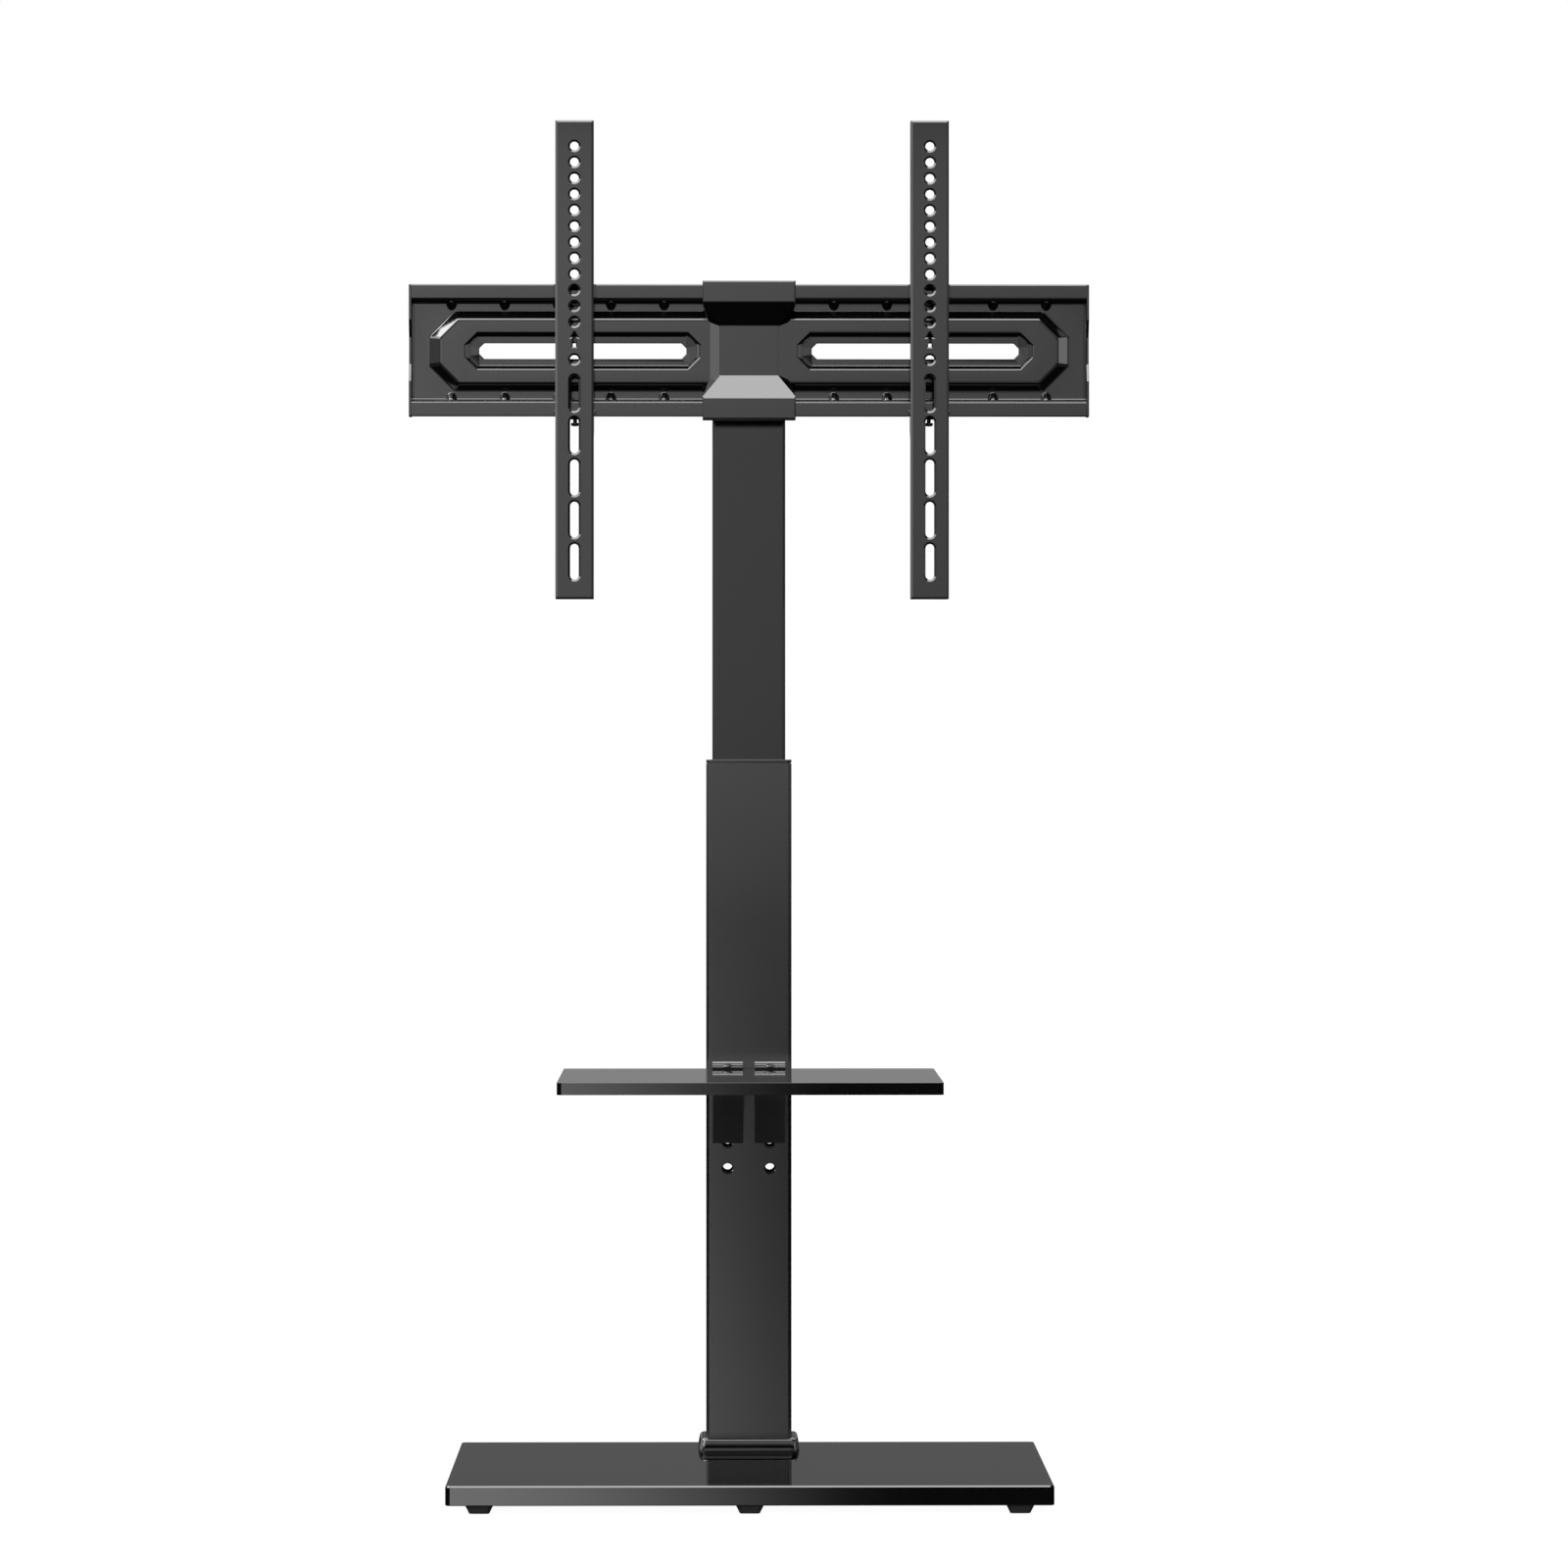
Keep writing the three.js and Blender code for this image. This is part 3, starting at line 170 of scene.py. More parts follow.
def powder_coat(tree, place):
    cloud = tree.noise(place, 9, 3)
    peel = tree.noise(place, 420, 2, 0.4)
    grain = tree.noise(place, 2300, 2, 0.6)
    fleck = tree.between(tree.noise(place, 5200, 1), 0.66, 0.74)
    colour = tree.blend(cloud, grey(0.0008, 0.03), grey(0.0014, 0.03))
    return {
        "Base Color": tree.blend(fleck * 0.5, colour, grey(0.006)),
        "Roughness": 0.075 + cloud * 0.02 + grain * 0.03,
        "Normal": bump(tree, peel * 0.7 + grain * 0.3, 0.00001, 0.5),
        "IOR": COAT_IOR,
    }


def tube_coat(tree, place):
    values = powder_coat(tree, place)
    values["IOR"] = 1.43
    return values


def outer_tube_coat(tree, place):
    values = powder_coat(tree, place)
    values["Base Color"] = tree.blend(tree.noise(place, 9, 3), grey(0.005, 0.03), grey(0.007, 0.03))
    return values


def satin_coat_painted_light(tree, place):
    values = powder_coat(tree, place)
    values["Roughness"] = 0.42 + tree.noise(place, 900, 2) * 0.08
    # Painted light: the brackets' base colour is many times lighter than the other coat's. It stands in
    # for light that does not reach their curved fronts. The rougher satin is the coat's own finish.
    values["Base Color"] = tree.blend(tree.noise(place, 30, 2), grey(0.03, 0.03), grey(0.042, 0.03))
    return values


def board_lacquer(tree, place):
    cloud = tree.noise(place, 5, 2)
    film = tree.noise(place, 60, 3)
    dust = tree.between(tree.noise(place, 1900, 1), 0.7, 0.78)
    return {
        "Base Color": tree.blend(cloud, grey(0.0008, 0.05), grey(0.0014, 0.05)),
        "Roughness": 0.035 + film * 0.02 + dust * 0.05,
        "Normal": bump(tree, tree.noise(place, 25, 2), 0.00001, 0.2),
        "IOR": COAT_IOR,
    }


def cover_plastic(tree, place):
    cloud = tree.noise(place, 12, 2)
    grain = tree.noise(place, 1500, 3, 0.6)
    return {
        "Base Color": tree.blend(cloud, grey(0.0008), grey(0.0014)),
        "Roughness": 0.08 + grain * 0.04,
        "Normal": bump(tree, grain, 0.00001, 0.4),
        "IOR": COAT_IOR,
    }


def collar_plastic(tree, place):
    film = tree.noise(place, 90, 3)
    return {
        "Base Color": tree.blend(film, grey(0.0008), grey(0.0014)),
        "Roughness": 0.07 + film * 0.03,
        "Normal": bump(tree, tree.noise(place, 40, 2), 0.00001, 0.2),
        "IOR": COAT_IOR,
    }


def foot_rubber(tree, place):
    grain = tree.noise(place, 1200, 3, 0.7)
    cloud = tree.noise(place, 40, 2)
    return {
        "Base Color": tree.blend(cloud, grey(0.002), grey(0.005)),
        "Roughness": 0.6 + grain * 0.2,
        "Normal": bump(tree, grain, 0.0001, 0.7),
    }


def black_steel(tree, place):
    grain = tree.noise(place, 900, 3, 0.6)
    wear = tree.between(tree.noise(place, 160, 3), 0.55, 0.75)
    return {
        "Base Color": tree.blend(wear, grey(0.05, 0.05), grey(0.12, 0.03)),
        "Metallic": 0.7,
        "Roughness": 0.22 + grain * 0.14,
        "Normal": bump(tree, grain, 0.00003, 0.5),
    }


def clear_nylon(tree, place):
    cloud = tree.noise(place, 60, 2)
    return {
        "Base Color": tree.blend(cloud, (0.42, 0.41, 0.37, 1), (0.52, 0.51, 0.46, 1)),
        "Roughness": 0.42 + tree.noise(place, 700, 2) * 0.12,
        "Normal": bump(tree, tree.noise(place, 500, 2), 0.00005, 0.4),
    }


coat = finish("satin_powder_coat", powder_coat)
tubing = finish("tube_powder_coat", tube_coat)
outer_tubing = finish("outer_tube_powder_coat", outer_tube_coat)
# A lighter copy of the powder coat for the brackets, with painted light in its base colour
satin_painted_light = finish("bracket_coat_painted_light", satin_coat_painted_light)
lacquer = finish("black_board_lacquer", board_lacquer)
plastic = finish("satin_cover_plastic", cover_plastic)
glossy = finish("glossy_collar_plastic", collar_plastic)
rubber = finish("foot_rubber", foot_rubber)
steel = finish("blackened_steel", black_steel)
nylon = finish("natural_nylon", clear_nylon)


# Outlines: lists of points (across, up), anticlockwise


def rounded(width, height, radius, steps=6, centre=(0, 0)):
    corners = [
        (centre[0] + side * width / 2, centre[1] + end * height / 2)
        for side, end in ((1, -1), (1, 1), (-1, 1), (-1, -1))
    ]
    return softened(corners, radius, steps)


def plate_loop(width, height, corner, radius, x=0):
    """An eight-sided outline on the wall plate; corner is what its slants cut off."""
    a, b = width / 2, height / 2
    corners = [
        (a - corner, -b), (a, corner - b), (a, b - corner), (a - corner, b),
        (corner - a, b), (-a, b - corner), (-a, corner - b), (corner - a, -b),
    ]
    return softened([(x + u, PLATE + v) for u, v in corners], radius, 3)


def softened(corners, radius, steps=4):
    """The same outline with an arc of that radius at each corner."""
    points = []
    for i, corner in enumerate(corners):
        here = Vector(corner)
        before = (Vector(corners[i - 1]) - here).normalized()
        after = (Vector(corners[(i + 1) % len(corners)]) - here).normalized()
        half = before.angle(after) / 2
        reach = radius / math.tan(half)
        middle = here + (before + after).normalized() * radius / math.sin(half)
        start = here + before * reach - middle
        sweep = here + after * reach - middle
        turn = math.atan2(start.x * sweep.y - start.y * sweep.x, start.dot(sweep))
        for k in range(steps + 1):
            angle = turn * k / steps
            c, s = math.cos(angle), math.sin(angle)
            point = middle + Vector((c * start.x - s * start.y, s * start.x + c * start.y))
            points.append((point.x, point.y))
    return points


def sheet_outline(path, thickness, radius, steps=4):
    """The section of a bent sheet whose middle line runs through the path."""
    left, right = [], []
    half = thickness / 2
    path = [Vector(p) for p in path]
    for i, point in enumerate(path):
        if i in (0, len(path) - 1):
            along = (path[1] - path[0] if i == 0 else path[-1] - path[-2]).normalized()
            across = Vector((-along.y, along.x)) * half
            left.append(point + across)
            right.append(point - across)
            continue
        before = (point - path[i - 1]).normalized()
        after = (path[i + 1] - point).normalized()
        turn = math.atan2(before.x * after.y - before.y * after.x, before.dot(after))
        side = math.copysign(1, turn)
        bend = radius + half
        start = point - before * bend * math.tan(abs(turn) / 2)
        middle = start + Vector((-before.y, before.x)) * side * bend
        first = math.atan2(start.y - middle.y, start.x - middle.x)
        for k in range(steps + 1):
            angle = first + turn * k / steps
            ray = Vector((math.cos(angle), math.sin(angle)))
            left.append(middle + ray * (bend - side * half))
            right.append(middle + ray * (bend + side * half))
    return [tuple(p) for p in left + right[::-1]]


def on_x(outline, x):
    return [(x, u, v) for u, v in outline]


def on_y(outline, y):
    return [(u, y, v) for u, v in outline]


def on_z(outline, z):
    return [(u, v, z) for u, v in outline]


# Forms: meshes under construction

# Faces that turn by more degrees than this keep a sharp edge; slim chamfers need the lower one
TURN = 32
SLIM = 18


def around(centre, axis, radius, angle, level):
    """A place on a circle round an upright axis, or round one that runs to the back."""
    u, v = radius * math.cos(angle), radius * math.sin(angle)
    offset = (u, v, level) if axis == "z" else (u, level, v)
    return [c + o for c, o in zip(centre, offset)]


class Form:
    def __init__(self):
        self.mesh = bmesh.new()

    def ring(self, points):
        return [self.mesh.verts.new(spot(p)) for p in points]

    def skin(self, rings, closed=False):
        pairs = list(zip(rings, rings[1:]))
        if closed:
            pairs.append((rings[-1], rings[0]))
        for lower, upper in pairs:
            for i in range(len(lower)):
                self.mesh.faces.new((lower[i - 1], lower[i], upper[i], upper[i - 1]))

    def loft(self, outlines, closed=False):
        """Joins outlines of as many points each, capped unless the form closes on itself."""
        rings = [self.ring(points) for points in outlines]
        self.skin(rings, closed)
        if not closed:
            self.mesh.faces.new(rings[0])
            self.mesh.faces.new(rings[-1])
        return rings

    def slab(self, outline, low, high, edge, place=on_z, steps=3):
        """A board or plate: outline(inset) gives its outline, and its edges are rounded."""
        arcs = [math.pi / 2 * k / steps for k in range(steps + 1)]
        rings = [(edge * (1 - math.sin(a)), low + edge * (1 - math.cos(a))) for a in arcs]
        rings += [(edge * (1 - math.cos(a)), high - edge * (1 - math.sin(a))) for a in arcs]
        self.loft([place(outline(inset), level) for inset, level in rings])

    def chamfer(self, width, chosen):
        """Cuts a flat chamfer along the edges whose two ends are chosen."""
        edges = [e for e in self.mesh.edges if all(chosen(v.co) for v in e.verts)]
        bmesh.ops.bevel(
            self.mesh, geom=edges, offset=width * MM, offset_type="OFFSET",
            segments=1, profile=0.5, affect="EDGES", clamp_overlap=False,
        )

    def block(self, x, y, z, edge=0.4):
        """A block with rounded edges."""
        width, depth = x[1] - x[0], y[1] - y[0]
        centre = ((x[0] + x[1]) / 2, (y[0] + y[1]) / 2)
        self.slab(
            lambda inset: rounded(width - 2 * inset, depth - 2 * inset, edge * 1.2, 2, centre),
            z[0], z[1], edge, steps=2,
        )

    def turned(self, profile, centre, axis="z", sides=32, shape=None):
        """A turned piece: profile gives (radius, height); shape(angle) may widen or narrow it."""
        angles = [2 * math.pi * k / sides for k in range(sides)]
        self.loft([
            [around(centre, axis, radius * (shape(a) if shape else 1), a, height) for a in angles]
            for radius, height in profile
        ])

    def fill(self, *rings):
        """A flat face between the first ring and the others, which are holes in it."""
        edges = []
        for ring in rings:
            for i, vertex in enumerate(ring):
                pair = (ring[i - 1], vertex)
                edges.append(self.mesh.edges.get(pair) or self.mesh.edges.new(pair))
        bmesh.ops.triangle_fill(self.mesh, use_beauty=True, edges=edges)


def object_of(name, form, tidy=True):
    """The object of a finished form; tidy turns its faces outwards."""
    mesh = bpy.data.meshes.new(name)
    if tidy:
        bmesh.ops.recalc_face_normals(form.mesh, faces=form.mesh.faces)
    form.mesh.to_mesh(mesh)
    form.mesh.free()
    made = bpy.data.objects.new(name, mesh)
    scene.collection.objects.link(made)
    return made


def settle(made):
    """Turns an object and its modifiers into a plain mesh."""
    bpy.context.view_layer.update()
    evaluated = made.evaluated_get(bpy.context.evaluated_depsgraph_get())
    mesh = bpy.data.meshes.new_from_object(evaluated)
    made.modifiers.clear()
    made.data = mesh


def dress(
    made, material, body, *replaced, angle=TURN, bevel=0, segments=2, bevel_angle=40, crowded=False
):
    """Gives a piece its rounded edges, shading, finish and place on a body.

    replaced are the CAD nodes it stands for; on a crowded piece roundings may run into others.
    """
    mesh = made.data
    mesh.materials.clear()
    mesh.materials.append(material)
    if bevel:
        rounding = made.modifiers.new("rounding", "BEVEL")
        rounding.width = bevel * MM
        rounding.segments = segments
        rounding.limit_method = "ANGLE"
        rounding.angle_limit = math.radians(bevel_angle)
        rounding.miter_outer = "MITER_ARC"
        rounding.use_clamp_overlap = not crowded
        settle(made)
    made.data.shade_smooth()
    made.data.set_sharp_from_angle(angle=math.radians(angle))
    even = made.modifiers.new("even shading", "WEIGHTED_NORMAL")
    even.keep_sharp = True
    even.weight = 80
    settle(made)
    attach(made, body)
    if replaced:
        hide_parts(*replaced)
    return made


def rounded_copy(node, material, body, bevel_angle=25, segments=2, moved=(), cut=None):
    """A copy of a CAD node with rounded edges, in its place.

    moved gives depths and their new ones, and cut a chamfer's width and its edges.
    """
    form = Form()
    form.mesh.from_mesh(nodes[node].data)
    bmesh.ops.remove_doubles(form.mesh, verts=form.mesh.verts, dist=0.00001)
    for old, new in moved:
        for vertex in form.mesh.verts:
            if abs(vertex.co.y - spot((0, old, 0)).y) < 0.05 * MM:
                vertex.co.y = spot((0, new, 0)).y
    bmesh.ops.dissolve_limit(
        form.mesh, angle_limit=math.radians(1), verts=form.mesh.verts, edges=form.mesh.edges
    )
    if cut:
        form.chamfer(*cut)
    made = object_of(node + "_rounded", form, tidy=False)
    dress(
        made, material, body, node, bevel=0.5, bevel_angle=bevel_angle, segments=segments,
        crowded=bool(cut),
    )


# Geometry trees: holes in rows, and pieces in pairs or in a grid

ROW_INPUTS = {
    "Part": "Object", "Count": "Int", "First place": "Vector", "Step": "Vector",
    "Finish": "Material",
}


def geometry_tree(name, inputs):
    """A new tree; its first input is the object's own mesh."""
    group = bpy.data.node_groups.new(name, "GeometryNodeTree")
    group.interface.new_socket("Geometry", in_out="OUTPUT", socket_type="NodeSocketGeometry")
    group.interface.new_socket("Blank", in_out="INPUT", socket_type="NodeSocketGeometry")
    for label, kind in inputs.items():
        group.interface.new_socket(label, in_out="INPUT", socket_type="NodeSocket" + kind)
    return group, Tree(group)


def close_tree(tree, source, geometry):
    """Ends a tree in real meshes with their finish."""
    plain = tree.node("GeometryNodeRealizeInstances", {}, {"Geometry": geometry})
    coloured = {"Geometry": plain, "Material": source.other("Finish")}
    shown = tree.node("GeometryNodeSetMaterial", {}, coloured)
    tree.node("NodeGroupOutput", {}, {"Geometry": shown})


def row_points(tree, source):
    line = {
        "Count": source.other("Count"),
        "Start Location": source.other("First place"),
        "Offset": source.other("Step"),
    }
    return tree.node("GeometryNodeMeshLine", {}, line)


def placed(tree, source, points):
    part = tree.node("GeometryNodeObjectInfo", {}, {"Object": source.other("Part")}, out="Geometry")
    return tree.node("GeometryNodeInstanceOnPoints", {}, {"Points": points, "Instance": part})


def perforation():
    group, tree = geometry_tree("row_of_holes", ROW_INPUTS)
    source = tree.node("NodeGroupInput")
    punches = placed(tree, source, row_points(tree, source))
    cutters = tree.node("GeometryNodeRealizeInstances", {}, {"Geometry": punches})
    holed = tree.node(
        "GeometryNodeMeshBoolean",
        {"operation": "DIFFERENCE", "solver": "MANIFOLD"},
        {"Mesh 1": source, "Mesh 2": cutters},
    )
    close_tree(tree, source, holed)
    return group


def paired_row():
    group, tree = geometry_tree("row_on_both_sides", ROW_INPUTS)
    source = tree.node("NodeGroupInput")
    right = row_points(tree, source)
    left = tree.node("GeometryNodeTransform", {}, {"Geometry": right, "Scale": (-1, 1, 1)})
    both = tree.node("GeometryNodeJoinGeometry", {}, {"Geometry": right})
    tree.links.new(left.socket, both.socket.node.inputs["Geometry"])
    close_tree(tree, source, placed(tree, source, both))
    return group


def grid_of_parts():
    inputs = {
        "Part": "Object", "Columns": "Int", "Rows": "Int", "Width": "Float", "Depth": "Float",
        "Middle": "Vector", "Finish": "Material",
    }
    group, tree = geometry_tree("grid_of_parts", inputs)
    source = tree.node("NodeGroupInput")
    sizes = {
        "Size X": source.other("Width"),
        "Size Y": source.other("Depth"),
        "Vertices X": source.other("Columns"),
        "Vertices Y": source.other("Rows"),
    }
    grid = tree.node("GeometryNodeMeshGrid", {}, sizes)
    moved = {"Geometry": grid, "Translation": source.other("Middle")}
    moved = tree.node("GeometryNodeTransform", {}, moved)
    close_tree(tree, source, placed(tree, source, moved))
    return group


HOLES = perforation()
PAIRS = paired_row()
GRID = grid_of_parts()


def run_tree(made, group, inputs):
    """Runs a tree on an object, with its inputs set by name."""
    modifier = made.modifiers.new(group.name, "NODES")
    modifier.node_group = group
    for item in group.interface.items_tree:
        if item.item_type == "SOCKET" and item.in_out == "INPUT" and item.name in inputs:
            modifier[item.identifier] = inputs[item.name]
    settle(made)


def step(x=0, y=0, z=0):
    return (x * MM, y * MM, z * MM)


def punch_rows(made, tool, material, *rows):
    """Punches rows of holes, each given as (count, first place, step); the tool then goes."""
    for count, first, pitch in rows:
        row = {"Count": count, "First place": spot(first), "Step": pitch}
        run_tree(made, HOLES, {"Part": tool, "Finish": material, **row})
    bpy.data.objects.remove(tool)


def arrange(name, part, group, inputs, material, body, *replaced):
    """Sets copies of one part out by a tree; the part itself then goes."""
    made = object_of(name, Form())
    run_tree(made, group, {"Part": part, "Finish": material, **inputs})
    bpy.data.objects.remove(part)
    dress(made, material, body, *replaced)


# A tool starts this far before the face and is this much wider there than its rim; the rim's
# slope is this deep for each millimetre of width
LEAD, LEAD_GROWTH, RIM_SLOPE = 1, 2.2, 0.45


def tool_levels(depth, rim):
    """What a tool is wider by, and at what depth."""
    return ((rim + LEAD_GROWTH, -LEAD), (rim, 0), (0, rim * RIM_SLOPE), (0, depth))


def drill(radius, depth, rim=0.0):
    """A drill along Y around the origin, with a countersink at its front."""
    form = Form()
    profile = [(radius + grow, y) for grow, y in tool_levels(depth, rim)]
    form.turned(profile, (0, BASE_FRONT, 0), "y", 24)
    return object_of("drill", form)


def flared_punch(outline, depth, rim):
    """A punch along Y from an outline(growth), wider at the front."""
    form = Form()
    form.loft([on_y(outline(grow), y + BASE_FRONT) for grow, y in tool_levels(depth, rim)])
    return object_of("punch", form)


# Base, shelf and feet

BOARD_MIDDLE = 200
FOOT_HEIGHT = 8.4


def board(name, size, centre_y, low, high, edge, node, pocket=None):
    """A lacquered board.

    edge is the width and height of its slim chamfer, pocket the size of a hollow from below.
    """
    width, depth = size
    across, rise = edge
    form = Form()
    rings = form.loft([
        on_z(rounded(width - 2 * inset, depth - 2 * inset, 5 - inset, 8, (0, centre_y)), z)
        for inset, z in ((across, low), (0, low + across), (0, high - rise), (across, high))
    ])
    if pocket:
        bottom = next(f for f in form.mesh.faces if set(f.verts) == set(rings[0]))
        form.mesh.faces.remove(bottom)
        pocket_width, pocket_depth, pocket_height = pocket
        hollow = rounded(pocket_width, pocket_depth, 2, 3, (0, POST_MIDDLE))
        mouth = form.ring(on_z(hollow, low))
        roof = form.ring(on_z(hollow, low + pocket_height))
        form.fill(rings[0], mouth)
        form.skin([mouth, roof])
        form.mesh.faces.new(roof)
    dress(object_of(name, form), lacquer, "stand", node, angle=SLIM)


board(
    "base", (600, 400), BOARD_MIDDLE, FOOT_HEIGHT, BOARD_TOP, (0.75, 1.6), "base_board",
    pocket=(160.6, 90.6, 8),
)
board("shelf_board", (376.6, 290), 71, 416.4, SHELF_TOP, (0.15, 0.15), "shelf")

foot = Form()
foot.loft([
    on_z(rounded(width, width, width * 0.2, 6, (0, BASE_FRONT)), z)
    for width, z in ((19.6, 0), (20.2, 0.2), (20.4, 0.6), (27.2, 7.6), (27.6, 8), (27.6, FOOT_HEIGHT))
])
arrange(
    "feet", object_of("foot", foot), GRID,
    {
        "Columns": 3, "Rows": 2, "Width": 533.2 * MM, "Depth": 369 * MM,
        "Middle": spot((0, BOARD_MIDDLE, 0)),
    },
    rubber, "stand",
    *[f"foot_{row}_{column}" for row in ("front", "back") for column in ("left", "centre", "right")],
)


# Posts

# Height of the lower height lock, and the lock holes' step; the upper lock is two steps up
LOWER_LOCK = 645
LOCK_STEP = 30


def post_outline(size, radius, grow):
    """A post's outline, grown by a margin or shrunk by a negative one."""
    width, depth = size
    return rounded(width + 2 * grow, depth + 2 * grow, radius, 6, (0, POST_MIDDLE))


def tube(size, radius, low, high):
    """A post with its inside: a closed skin that runs up the outside and down the inside."""
    rim = 0.3
    levels = [
        (rim, low), (0, low + rim), (0, high - rim), (rim, high),
        (WALL - rim, high), (WALL, high - rim), (WALL, low + rim), (WALL - rim, low),
    ]
    form = Form()
    form.loft([on_z(post_outline(size, radius - inset, -inset), z) for inset, z in levels], closed=True)
    return form


post = object_of("outer_post_tube", tube(OUTER_POST, 3.5, BOARD_TOP, OUTER_TOP))
rows = [(4, (side * SIDE_ROW, POST_FRONT, 326.6), step(z=HOLE_STEP)) for side in (-1, 1)]
punch_rows(post, drill(5.0, 80, 1.2), outer_tubing, *rows)
dress(post, outer_tubing, "stand", "outer_post", angle=SLIM)

post = object_of("inner_post_tube", tube(INNER_POST, 3, 595, INNER_TOP))
punch_rows(post, drill(3.5, 40), tubing, (8, (0, 262, LOWER_LOCK), step(z=LOCK_STEP)))
dress(post, tubing, "column", "inner_post")


def ring_of_levels(name, levels, bore, material, node):
    """A ring round the post.

    levels give (margin, corner radius, height) up its outside, bore its inner size and radius.
    """
    width, depth, bore_radius = bore
    outlines = [on_z(post_outline(OUTER_POST, radius, margin), z) for margin, radius, z in levels]
    for z in (levels[-1][2], levels[0][2]):
        outlines.append(on_z(post_outline((width, depth), bore_radius, 0), z))
    form = Form()
    form.loft(outlines, closed=True)
    return dress(object_of(name, form), material, "stand", node, angle=40)


ring_of_levels(
    "post_mouth_cap",
    [
        (-2.3, 1.3, 724), (-2.3, 1.3, OUTER_TOP), (-0.8, 3, OUTER_TOP), (-0.8, 3, 739.8),
        (-0.2, 3.3, 739.8), (0, 3.5, 740.1), (0, 3.5, 742.4), (-0.2, 3.3, 742.85), (-0.6, 3, 743),
    ],
    (75.1, 47.6, 3), plastic, "post_cap",
)
collar = ring_of_levels(
    "post_collar",
    [
        (5.0, 8.4, BOARD_TOP), (5.3, 8.5, 28.3), (5.3, 8.5, 28.7), (5.0, 8.4, 29), (4.9, 8.3, 29.2),
        (5.6, 8.3, 29.8), (6.3, 8.4, 30.8), (6.75, 8.5, 32), (7.1, 8.6, 33.4), (7.42, 8.6, 35),
        (7.7, 8.6, 36.6), (7.94, 8.6, 38.3), (8.07, 8.6, 39.6), (7.88, 8.6, 41.4), (7.68, 8.5, 43.2),
        (7.4, 8.4, 45), (7.05, 8.2, 46.8), (6.65, 8, 48.4), (6.25, 7.8, 49.9), (6.1, 7.7, 50.4),
        (5.8, 7.5, 50.8), (5.2, 7, 51.4), (4.3, 6.1, 51.9), (3.4, 5.4, 52.1), (3.0, 5.2, 51.6),
    ],
    (87.6, 60.6, 3.5), glossy, "collar",
)
# The photograph's glossy base mirrors the post, but not the collar
collar.visible_glossy = False

plug = Form()
plug.slab(lambda inset: post_outline(INNER_POST, 3 - inset, -inset), INNER_TOP, INNER_TOP + 3, 0.8)
plug.slab(
    lambda inset: rounded(69.9 - 2 * inset, 42.4 - 2 * inset, 1 - inset, 3, (0, POST_MIDDLE)),
    INNER_TOP - 7.5, INNER_TOP, 0.3,
)
dress(object_of("top_plug", plug), plastic, "column", "inner_cap")


# Height locks


def hexagon(angle):
    """How far a hexagon reaches at an angle, when its flats are at 1."""
    return 1 / math.cos((angle + math.pi / 6) % (math.pi / 3) - math.pi / 6)


def hex_nut(form, across, height, centre, axis, bore=0.0):
    """A nut or bolt head with chamfered corners, that stands on its centre along the axis."""
    flat = across / 2
    angles = [2 * math.pi * k / 36 for k in range(36)]
    slant = [(flat * hexagon(a) - flat) * 0.55 for a in angles]

    def circle(radius, level):
        return [around(centre, axis, radius, a, level) for a in angles]

    rings = [
        circle(flat, 0),
        [around(centre, axis, flat * hexagon(a), a, rise) for a, rise in zip(angles, slant)],
        [around(centre, axis, flat * hexagon(a), a, height - rise) for a, rise in zip(angles, slant)],
        circle(flat * 0.93, height),
    ]
    if bore:
        rings += [circle(bore, height), circle(bore, 0)]
    form.loft(rings, closed=bool(bore))


def lobes(angle):
    """Six lobes, as deep as 2.2 mm on a knob of radius 17 mm."""
    return 1 + 2.2 / 17 * math.cos(6 * angle)


for level, z in (("lower", LOWER_LOCK), ("upper", LOWER_LOCK + 2 * LOCK_STEP)):
    nut = Form()
    hex_nut(nut, 15, 8, (0, POST_BACK, z), "y", 4.3)
    dress(object_of(f"{level}_lock_nut", nut), coat, "stand", f"lock_nut_{level}")
    knob = Form()
    knob.turned(
        [
            (6, 290), (7, 290), (9, 290.6), (9.8, 292.2), (12, 292.8), (15.6, 293.2), (16.7, 294),
            (17, 295.4), (17, 300), (16.6, 302), (15.4, 303.4), (13.6, 304), (9.4, 304),
            (8.9, 303.6), (8.6, 302.8), (4, 302.6),
        ],
        (0, 0, z), "y", 72, lobes,
    )
    dress(object_of(f"{level}_knob", knob), plastic, f"{level}_lock", f"lock_knob_{level}", angle=50)


# Shelf brackets, clamps and their screws


def bracket_outline(inset):
    """A bracket's side: straight behind and above, and one sagging curve from its nose down."""
    reach, steps = 200, 24
    back, nose = POST_FRONT - inset, POST_FRONT - reach + inset
    low, nose_z = 352.3 + inset, BRACKET_TOP - 3.2 + inset
    top = BRACKET_TOP + (6 if inset else 0)
    bend = POST_FRONT - reach * 0.38
    points = [(back, low), (back, top), (nose, top)]
    for k in range(steps + 1):
        t = k / steps
        points.append((
            (1 - t) ** 2 * nose + 2 * t * (1 - t) * bend + t ** 2 * (back - 2),
            (1 - t) ** 2 * nose_z + 2 * t * (1 - t) * nose_z + t ** 2 * low,
        ))
    return points


def prism(name, outline, x, half):
    form = Form()
    form.loft([on_x(outline, x - half), on_x(outline, x + half)])
    return object_of(name, form)


def cut_away(made, cutter):
    """Takes a cutter's shape out of an object; the cutter then goes."""
    boolean = made.modifiers.new("hollow", "BOOLEAN")
    boolean.object = cutter
    boolean.solver = "EXACT"
    settle(made)
    bpy.data.objects.remove(cutter)


# A leaf on the shelf and an upstand against the post, sloped in two steps above the bend
CLAMP_SECTION = [
    (200.1, SHELF_TOP), (218.7, SHELF_TOP), (218.7, 435.1), (218.2, 435.2), (217.5, 433.7), (217.4, 432.7),
    (217.05, 432), (216.9, 431.3), (216.6, 431), (216.1, 430.9), (199.9, 430.9), (199.7, 430.5),
]


